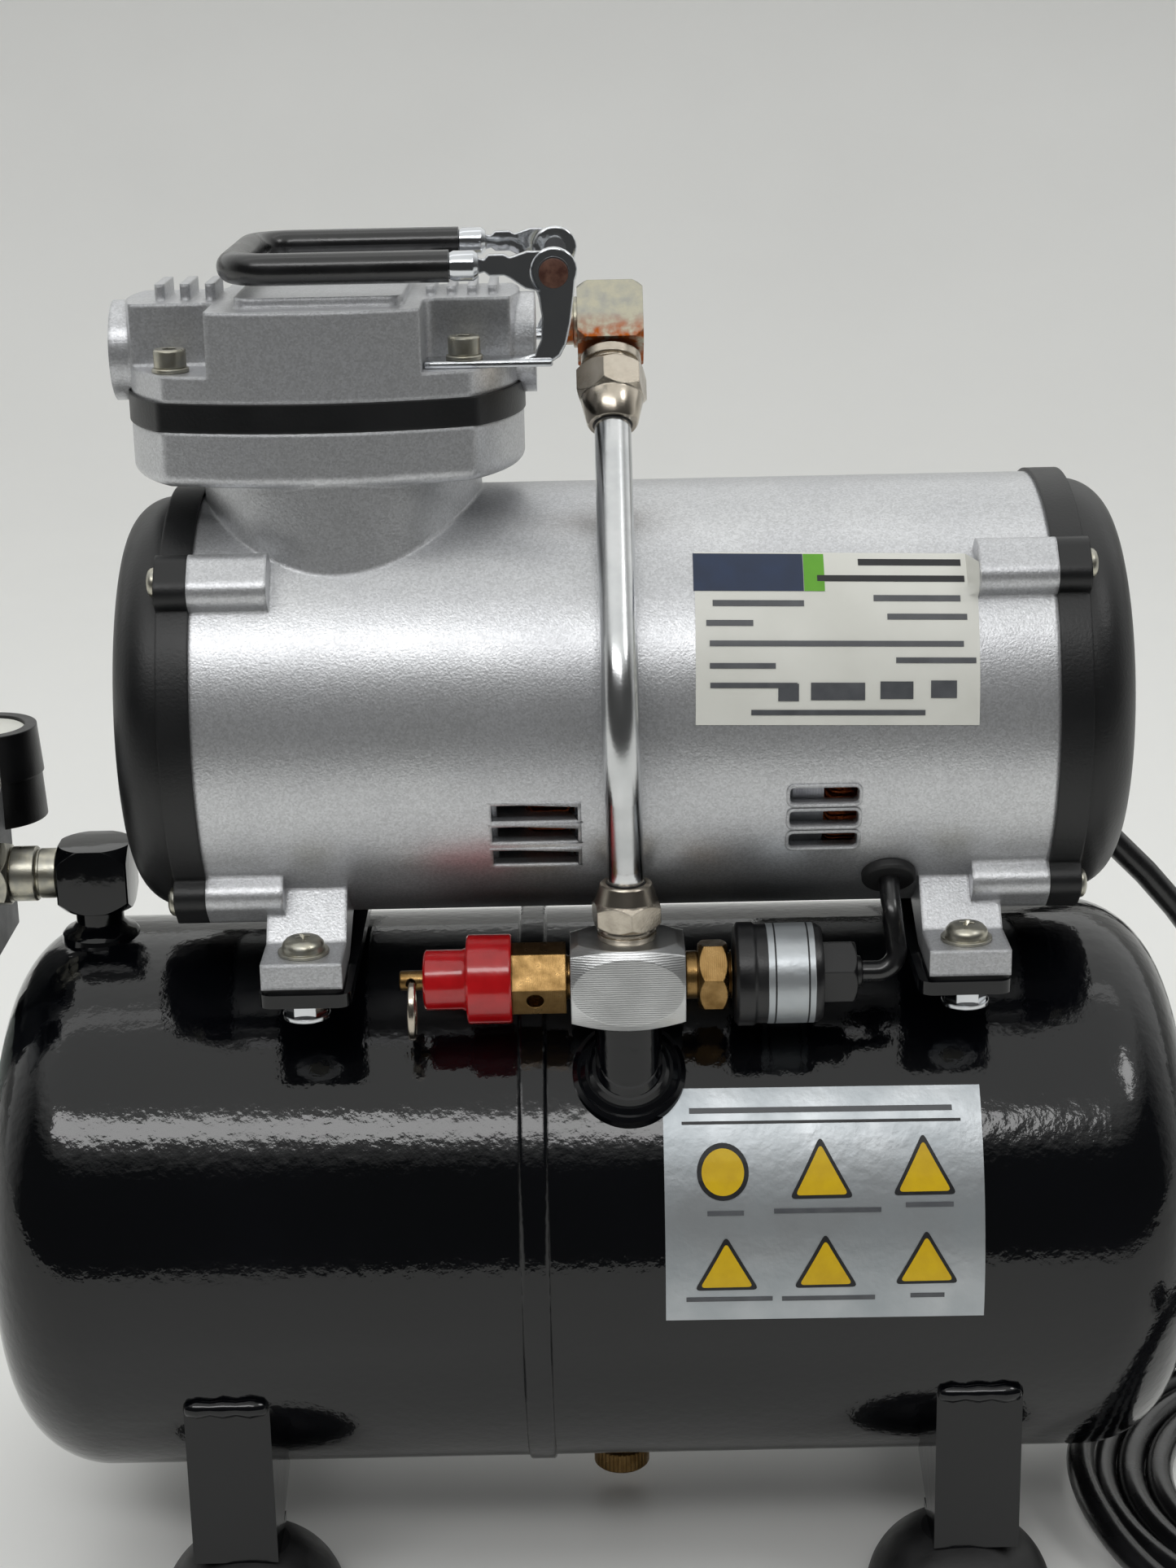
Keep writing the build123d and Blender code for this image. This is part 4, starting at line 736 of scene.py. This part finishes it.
for side in (-1, 1):
    brackets.append(pressedPlate(bracketOutline, side * handlePlan["plate"], 0.55,
                                 side * handlePlan["plateY"]))
    foot = pressedPlate(footOutline, -side * handlePlan["footWidth"], 0.5, side * handlePlan["footY"])
    hole = turned([(handlePlan["screwHole"], -3), (handlePlan["screwHole"], 6)], 24)
    cutWith(foot, putAt(hole, (handlePlan["screwX"], side * handlePlan["screwY"], 285), upward))
    brackets.append(foot)
finishPiece(joinAll(brackets), "chromeBrackets", brightChrome, replaced=["handle_brackets"])
armOutline = (roundEye(handlePlan["pivot"], handlePlan["eyeR"], 235, 120, 18)
              + [(14.5, 309.4), (10.8, 308.2), (9.6, 308.9), (6.4, 308.9), (5.4, 307.9), (2.0, 308.6),
                 (-1.6, 309.2), (-1.6, 304.0), (2.0, 304.2), (5.4, 305.2), (6.4, 304.4), (9.6, 304.4),
                 (10.8, 303.8), (14.0, 301.6)])
arms = []
for side in (-1, 1):
    arms.append(pressedPlate(armOutline, side * handlePlan["armPlate"], 0.6, side * handlePlan["armY"]))
    socket = turned([(2.6, 0), (2.6, 11.8), (3.2, 13.0), (3.2, 17.2), (2.4, 18.2)], 32)
    arms.append(putAt(socket, (handlePlan["socketX"], side * handlePlan["socketY"], handlePlan["socketZ"]),
                      rightward))
finishPiece(joinAll(arms), "chromeArms", brightChrome, body="handle",
            replaced=["handle_arms"])

# drilled mild-steel rivets, brown with rust on the cut face
rustySteel = makeFinish("rustedRivetSteel", {
    "tones": ("4a2a20", "6b4a3c"), "driftMm": 1.6, "metallic": 0.35, "rough": (0.5, 0.7), "grainMm": 0.3,
    "reliefMm": 0.05})
pivotX, pivotZ = handlePlan["pivot"]
rivetFaces = [putAt(turned([(3.1, 0), (3.1, 0.25), (2.8, 0.4)], 40),
                    (pivotX, side * handlePlan["rivetY"], pivotZ), (0, side, 0)) for side in (-1, 1)]
finishPiece(joinAll(rivetFaces), "rivetFaces", rustySteel)

# head elbow: a block with its corners turned off, rusting along its lower edge
rustyZinc = makeFinish("zincPlateRustingAtTheEdge", {
    "tones": ("b9b5a2", "a3a29a"), "driftMm": 2.5, "metallic": 0.9, "rough": (0.3, 0.46), "grainMm": 0.4,
    "reliefMm": 0.04, "edgeMm": 0.3, "stain": ("a8561c", 288.0, 294.0)})
elbowBlock = squareBar([(10.4, -6.5), (10.4, 8.0)], 14.71, (14.5, 13.5))
cutWith(elbowBlock, turned([(8.3, -6.6), (9.9, -4.4), (9.9, 6.2), (8.6, 8.1)], 72), "INTERSECT")
putAt(elbowBlock, outletTop, outletDown)
elbowStub = putAt(turned([(4.9, -4.6), (4.9, -1.2), (5.6, -1.0), (5.6, 0.4)]), (25.0, 0, 291), rightward)
finishPiece(joinAll([elbowBlock, elbowStub]), "turnedElbow", rustyZinc, replaced=["head_elbow"])
print("handle and elbow dressed")

# weld puddle where the tee's socket meets the tank, run out in rings
puddle = putAt(turned([(13.2, -4.0), (12.6, 0.6), (11.6, 1.1), (10.9, 0.9), (9.8, 1.7), (9.1, 1.6),
                       (8.2, 2.6), (7.4, 2.6), (6.4, 4.6)], 72), (32.8, -46.0, 131.0), (0, -0.66, 0.75))
finishPiece(puddle, "weldPuddle", dippedEnamel)
legWelds = []
beadProfile = [(0.7, -9.6), (1.7, -8.9), (2.3, -6.4), (1.8, -3.4), (2.4, -0.6), (1.9, 2.4), (2.5, 5.4),
               (1.9, 8.6), (0.7, 9.6)]
for x in (-59.5, 110.5):
    for side in (-1, 1):
        legWelds.append(putAt(turned(beadProfile, 24), (x, side * 60.3, 57.3), rightward))
finishPiece(joinAll(legWelds), "legWelds", dippedEnamel, angle=60)

# moulded ribs that stop the cord kinking at the plug and at the switch box
reliefRings = []


def addRib(reach, slope, width, spot, direction):
    rib = turned([(reach - slope, 0), (reach, 0.3), (reach, width - 0.3), (reach - slope, width)], 40)
    reliefRings.append(putAt(rib, spot, direction))


plugRibs = {"count": 5, "firstR": 5.1, "growth": 0.28, "pitch": 2.6, "start": -76.5}
for step in range(plugRibs["count"]):
    addRib(plugRibs["firstR"] + plugRibs["growth"] * step, 0.6, 1.8,
           (269, plugRibs["start"] - plugRibs["pitch"] * step, 9), frontward)
glandStart = Vector((124, 54, 178))
glandWay = (Vector(cordPlan["route"][1]) - glandStart).normalized()
glandRibs = {"count": 3, "firstR": 5.4, "growth": -0.2, "pitch": 2.4, "start": -7.4}
for step in range(glandRibs["count"]):
    addRib(glandRibs["firstR"] + glandRibs["growth"] * step, 0.7, 1.5,
           glandStart + glandWay * (glandRibs["pitch"] * step + glandRibs["start"]), glandWay)
finishPiece(joinAll(reliefRings), "cordReliefs", blackRubber)

# raised bezel round the rocker and the two screws that hold the switch box
boxPlan = {"x": 88, "z": 192, "bezelY": 61.9, "screwY": 62.0, "screwX": 16, "screwZ": 12.5}
bezel = squareBar([(12.6, 0), (12.2, 1.0)], 17.8, (15.0, 20.6))
cutWith(bezel, squareBar([(8.6, -1), (8.6, 2)], 12.16, (11.2, 16.8)))
finishPiece(putAt(bezel, (boxPlan["x"], boxPlan["bezelY"], boxPlan["z"]), backward), "rockerBezel", blackAbs)
boxSpots = [(boxPlan["x"] + boxPlan["screwX"] * side, boxPlan["screwY"],
             boxPlan["z"] + boxPlan["screwZ"] * side) for side in (-1, 1)]
screwSet(panScrew(2.6, 1.3, 1.2, 4.0), [(spot, backward, 30) for spot in boxSpots], "boxScrews")
print("welds, ribs and bezel added")

# tank outlet: a rounded elbow dipped in enamel, and the zinc nipple that leads to the regulator
outletPlan = {"x": -90.8, "z": 165.0, "block": (16.5, 16.5, 15.5), "blockZ": 164.75, "soft": 0.5,
              "neckR": 5.6, "neckZ": 151.0, "drip": 9.2, "nippleX": -116.0}
outletElbow = flatBox(outletPlan["block"])
cutWith(outletElbow, turned([(8.4, -7.8), (11.4, -5.0), (11.4, 4.6), (8.6, 7.8)], 72), "INTERSECT")
applyModifier(outletElbow, "BEVEL", width=outletPlan["soft"] / 1000, segments=3, limit_method="ANGLE",
              angle_limit=math.radians(35))
putAt(outletElbow, (outletPlan["x"], 0, outletPlan["blockZ"]), upward)
outletNeck = putAt(turned([(outletPlan["drip"], -2.4), (9.0, -0.6), (8.2, 0.3), (6.6, 0.9),
                           (outletPlan["neckR"], 2.2), (outletPlan["neckR"], 7.0)], 64),
                   (outletPlan["x"], 0, outletPlan["neckZ"]), upward)
finishPiece(joinAll([outletElbow, outletNeck]), "outletElbow", dippedEnamel,
            replaced=["tank_elbow"])
nippleSpot = (outletPlan["nippleX"], 0, outletPlan["z"])
nippleHex = putAt(hexBar(hexAcross, 5.4, 1.4), nippleSpot, rightward, 8)
nippleCollars = putAt(turned([(4.9, 5.2), (5.2, 5.5), (6.4, 5.8), (6.5, 6.2), (6.5, 11.2), (6.2, 11.6),
                              (5.5, 11.8), (5.5, 12.2), (5.9, 12.4), (5.9, 16.2), (5.4, 16.6), (4.4, 17.4)]),
                      nippleSpot, rightward)
finishPiece(joinAll([nippleHex, nippleCollars]), "outletNipple", zincPlate,
            replaced=["inlet_nipple"])
bonnetScrew = putAt(panScrew(2.9, 1.4, 1.2, 4.0), (-112.5, -3.0, 188.0), rightward, 15)
finishPiece(bonnetScrew, "bonnetScrew", zincPlate)
print("outlet dressed")

# raised frames round the cooling slots
rimPlan = {"startY": -0.12, "wide": 0.75, "cornerR": 1.6, "high": 0.7, "soft": 0.15}
ventPlans = [{"x": 13.3, "rows": (192.0, 186.6, 180.3), "size": (18.7, 4.0), "roundCorners": False},
             {"x": 75.8, "rows": (195.0, 189.3, 183.6), "size": (14.9, 3.9), "roundCorners": True}]
frames = []
for plan in ventPlans:
    for z in plan["rows"]:
        selectNone()
        bpy.ops.mesh.primitive_plane_add(size=1, location=(plan["x"] / 1000, rimPlan["startY"], z / 1000),
                                         rotation=(math.pi / 2, 0, 0))
        rim = bpy.context.object
        wide, tall = plan["size"]
        squeeze(rim, ((wide + 2 * rimPlan["wide"]) / 1000, (tall + 2 * rimPlan["wide"]) / 1000, 1))
        editMode(True)
        bpy.ops.mesh.select_all(action="SELECT")
        if plan["roundCorners"]:
            bpy.ops.mesh.bevel(offset=rimPlan["cornerR"] / 1000, segments=4, affect="VERTICES")
            bpy.ops.mesh.select_all(action="SELECT")
        bpy.ops.mesh.inset(thickness=rimPlan["wide"] / 1000)
        bpy.ops.mesh.delete(type="FACE")
        editMode(False)
        pressOnto(rim, motor, 0.0)
        applyModifier(rim, "SOLIDIFY", thickness=rimPlan["high"] / 1000, offset=0.3)
        applyModifier(rim, "BEVEL", width=rimPlan["soft"] / 1000, segments=2)
        frames.append(rim)
finishPiece(joinAll(frames), "ventFrames", silverPaint)

# gauge face, ticks and lens
gaugePlan = {"x": -134.0, "z": 172.0, "dialY": -33.42, "tickY": -33.75, "figureY": -33.8, "lensY": -35.0,
             "firstAngle": 225, "travel": 270, "ticks": 30, "figures": 6, "figureR": 10.6, "figureSize": 3.6,
             "longTick": (3.0, 0.5, 0.1), "longR": 14.2, "shortTick": (1.6, 0.28, 0.1), "shortR": 14.9}
dial = putAt(turned([(17.2, 0), (17.3, 0.1), (17.3, 0.2), (16.9, 0.3)], 64),
             (gaugePlan["x"], gaugePlan["dialY"], gaugePlan["z"]), frontward)
finishPiece(dial, "gaugeDial", whitePaper)
dialCentre = (gaugePlan["x"] / 1000, gaugePlan["tickY"] / 1000, gaugePlan["z"] / 1000)
ticks = []
for step in range(gaugePlan["ticks"] + 1):
    sweepAngle = math.radians(gaugePlan["firstAngle"] - gaugePlan["travel"] * step / gaugePlan["ticks"])
    kind = "long" if step % 5 == 0 else "short"
    tick = flatBox(gaugePlan[kind + "Tick"])
    tick.matrix_world = (Matrix.Translation(dialCentre) @ Matrix.Rotation(math.pi / 2, 4, "X")
                         @ Matrix.Rotation(sweepAngle, 4, "Z")
                         @ Matrix.Translation((gaugePlan[kind + "R"] / 1000, 0, 0)))
    onlySelect(tick)
    setTransform()
    ticks.append(tick)
finishPiece(joinAll(ticks), "gaugeTicks", blackInk)
figures = []
for step in range(gaugePlan["figures"] + 1):
    sweepAngle = math.radians(gaugePlan["firstAngle"] - gaugePlan["travel"] * step / gaugePlan["figures"])
    selectNone()
    bpy.ops.object.text_add(location=((gaugePlan["x"] + gaugePlan["figureR"] * math.cos(sweepAngle)) / 1000,
                                      gaugePlan["figureY"] / 1000,
                                      (gaugePlan["z"] + gaugePlan["figureR"] * math.sin(sweepAngle)) / 1000),
                            rotation=(math.pi / 2, 0, 0))
    figure = bpy.context.object
    figure.data.body = str(2 * step)
    figure.data.size = gaugePlan["figureSize"] / 1000
    figure.data.align_x = "CENTER"
    figure.data.align_y = "CENTER"
    figure.data.extrude = 0.00004
    bpy.ops.object.convert(target="MESH")
    figures.append(bpy.context.object)
finishPiece(joinAll(figures), "gaugeFigures", blackInk)
lens = putAt(turned([(17.4, 0), (17.4, 0.4), (15.5, 0.8), (11.0, 1.15), (5.0, 1.3), (1.0, 1.35)], 64),
             (gaugePlan["x"], gaugePlan["lensY"], gaugePlan["z"]), frontward)
clearLens = makeFinish("pressedGlassLens", {
    "tones": ("f4f6f6", "eef2f2"), "driftMm": 20, "rough": (0.02, 0.05), "grainMm": 8, "reliefMm": 0.005,
    "clear": 1.0, "ior": 1.5})
finishPiece(lens, "gaugeLens", clearLens)

# the knob's pale inlay
inlay = putAt(turned([(8.2, 0), (8.9, 0.3), (8.9, 0.6), (8.4, 0.9)]), (-118.5, 20.8, 194.05), upward)
finishPiece(inlay, "knobInlay", whitePaper, body="knob")
print("gauge and knob dressed")

# pale table that sweeps up into the backdrop
sweepPlan = {"width": 9.0, "front": -0.52, "back": 1.6, "height": 0.8, "bend": 0.5}
selectNone()
bpy.ops.mesh.primitive_plane_add(size=1, location=(0, (sweepPlan["front"] + sweepPlan["back"]) / 2, 0))
sweep = squeeze(bpy.context.object, (sweepPlan["width"], sweepPlan["back"] - sweepPlan["front"], 1))
pickEdges(sweep, lambda a, b: min(a.y, b.y) > sweepPlan["back"] - 0.01)
bpy.ops.mesh.extrude_region_move(TRANSFORM_OT_translate={"value": (0, 0, sweepPlan["height"])})
editMode(False)
pickEdges(sweep, lambda a, b: min(a.y, b.y) > sweepPlan["back"] - 0.01 and max(a.z, b.z) < 0.01)
bpy.ops.mesh.bevel(offset=sweepPlan["bend"], segments=16)
editMode(False)
bpy.ops.object.shade_smooth()
sweep.name = "tableSweep"
paleTable = makeFinish("paleLaminateTable", {
    "tones": ("efefed", "ededeb"), "driftMm": 140, "rough": (0.3, 0.42), "grainMm": 6, "reliefMm": 0.02,
    "ior": 1.5})
sweep.data.materials.append(paleTable)

# a ceiling tube ahead of the tank, a window at the upper right, and a wash on the backdrop
lampPlans = [
    {"name": "ceilingTube", "place": (-0.35, -1.25, 1.42), "aim": (0.0, 0.0, 0.15), "size": (1.6, 0.30),
     "watts": 8.5},
    {"name": "rightWindow", "place": (1.0, -0.55, 1.3), "aim": (0.05, 0.0, 0.15), "size": (0.35, 0.35),
     "watts": 2.2},
    {"name": "backWash", "place": (0.0, 0.3, 1.9), "aim": (-0.2, 1.5, 0.9), "size": (2.4, 0.5), "watts": 3}]
for plan in lampPlans:
    lampData = bpy.data.lights.new(plan["name"], "AREA")
    lampData.shape = "RECTANGLE"
    lampData.size, lampData.size_y = plan["size"]
    lampData.energy = plan["watts"]
    lamp = bpy.data.objects.new(plan["name"], lampData)
    bpy.context.scene.collection.objects.link(lamp)
    lamp.location = plan["place"]
    lamp.rotation_euler = (Vector(plan["aim"]) - Vector(plan["place"])).to_track_quat("-Z", "Y").to_euler()
# a room that is bright above and behind the object and dark ahead of it
room = bpy.data.worlds.new("studioRoom")
bpy.context.scene.world = room
room.use_nodes = True
roomTree = room.node_tree
roomTree.nodes.clear()
roomPlan = {"bright": 1.05, "dark": 0.06, "pale": 0.62}
roomWay = addNode(roomTree, "ShaderNodeTexCoord").outputs["Generated"]
heading = addNode(roomTree, "ShaderNodeSeparateXYZ", {}, {0: roomWay})
overhead = addNode(roomTree, "ShaderNodeMapRange", {"From Min": 0.5, "From Max": 0.72},
                   {"Value": heading.outputs[2]})
behind = addNode(roomTree, "ShaderNodeMapRange", {"From Min": -0.25, "From Max": 0.4},
                 {"Value": heading.outputs[1]})
lit = addNode(roomTree, "ShaderNodeMath", {"operation": "MAXIMUM"},
              {0: overhead.outputs[0], 1: behind.outputs[0]})
level = addNode(roomTree, "ShaderNodeMapRange", {"To Min": roomPlan["dark"], "To Max": roomPlan["bright"]},
                {"Value": lit.outputs[0]})
seen = addNode(roomTree, "ShaderNodeLightPath").outputs["Is Camera Ray"]
shown = addNode(roomTree, "ShaderNodeMix", {3: roomPlan["pale"]}, {0: seen, 2: level.outputs[0]})
glow = addNode(roomTree, "ShaderNodeBackground", {"Color": hexColour("f4f5f3")},
               {"Strength": shown.outputs[0]})
addNode(roomTree, "ShaderNodeOutputWorld", {}, {"Surface": glow.outputs[0]})
bpy.context.scene.view_settings.view_transform = "Standard"
print("stage and light ready")
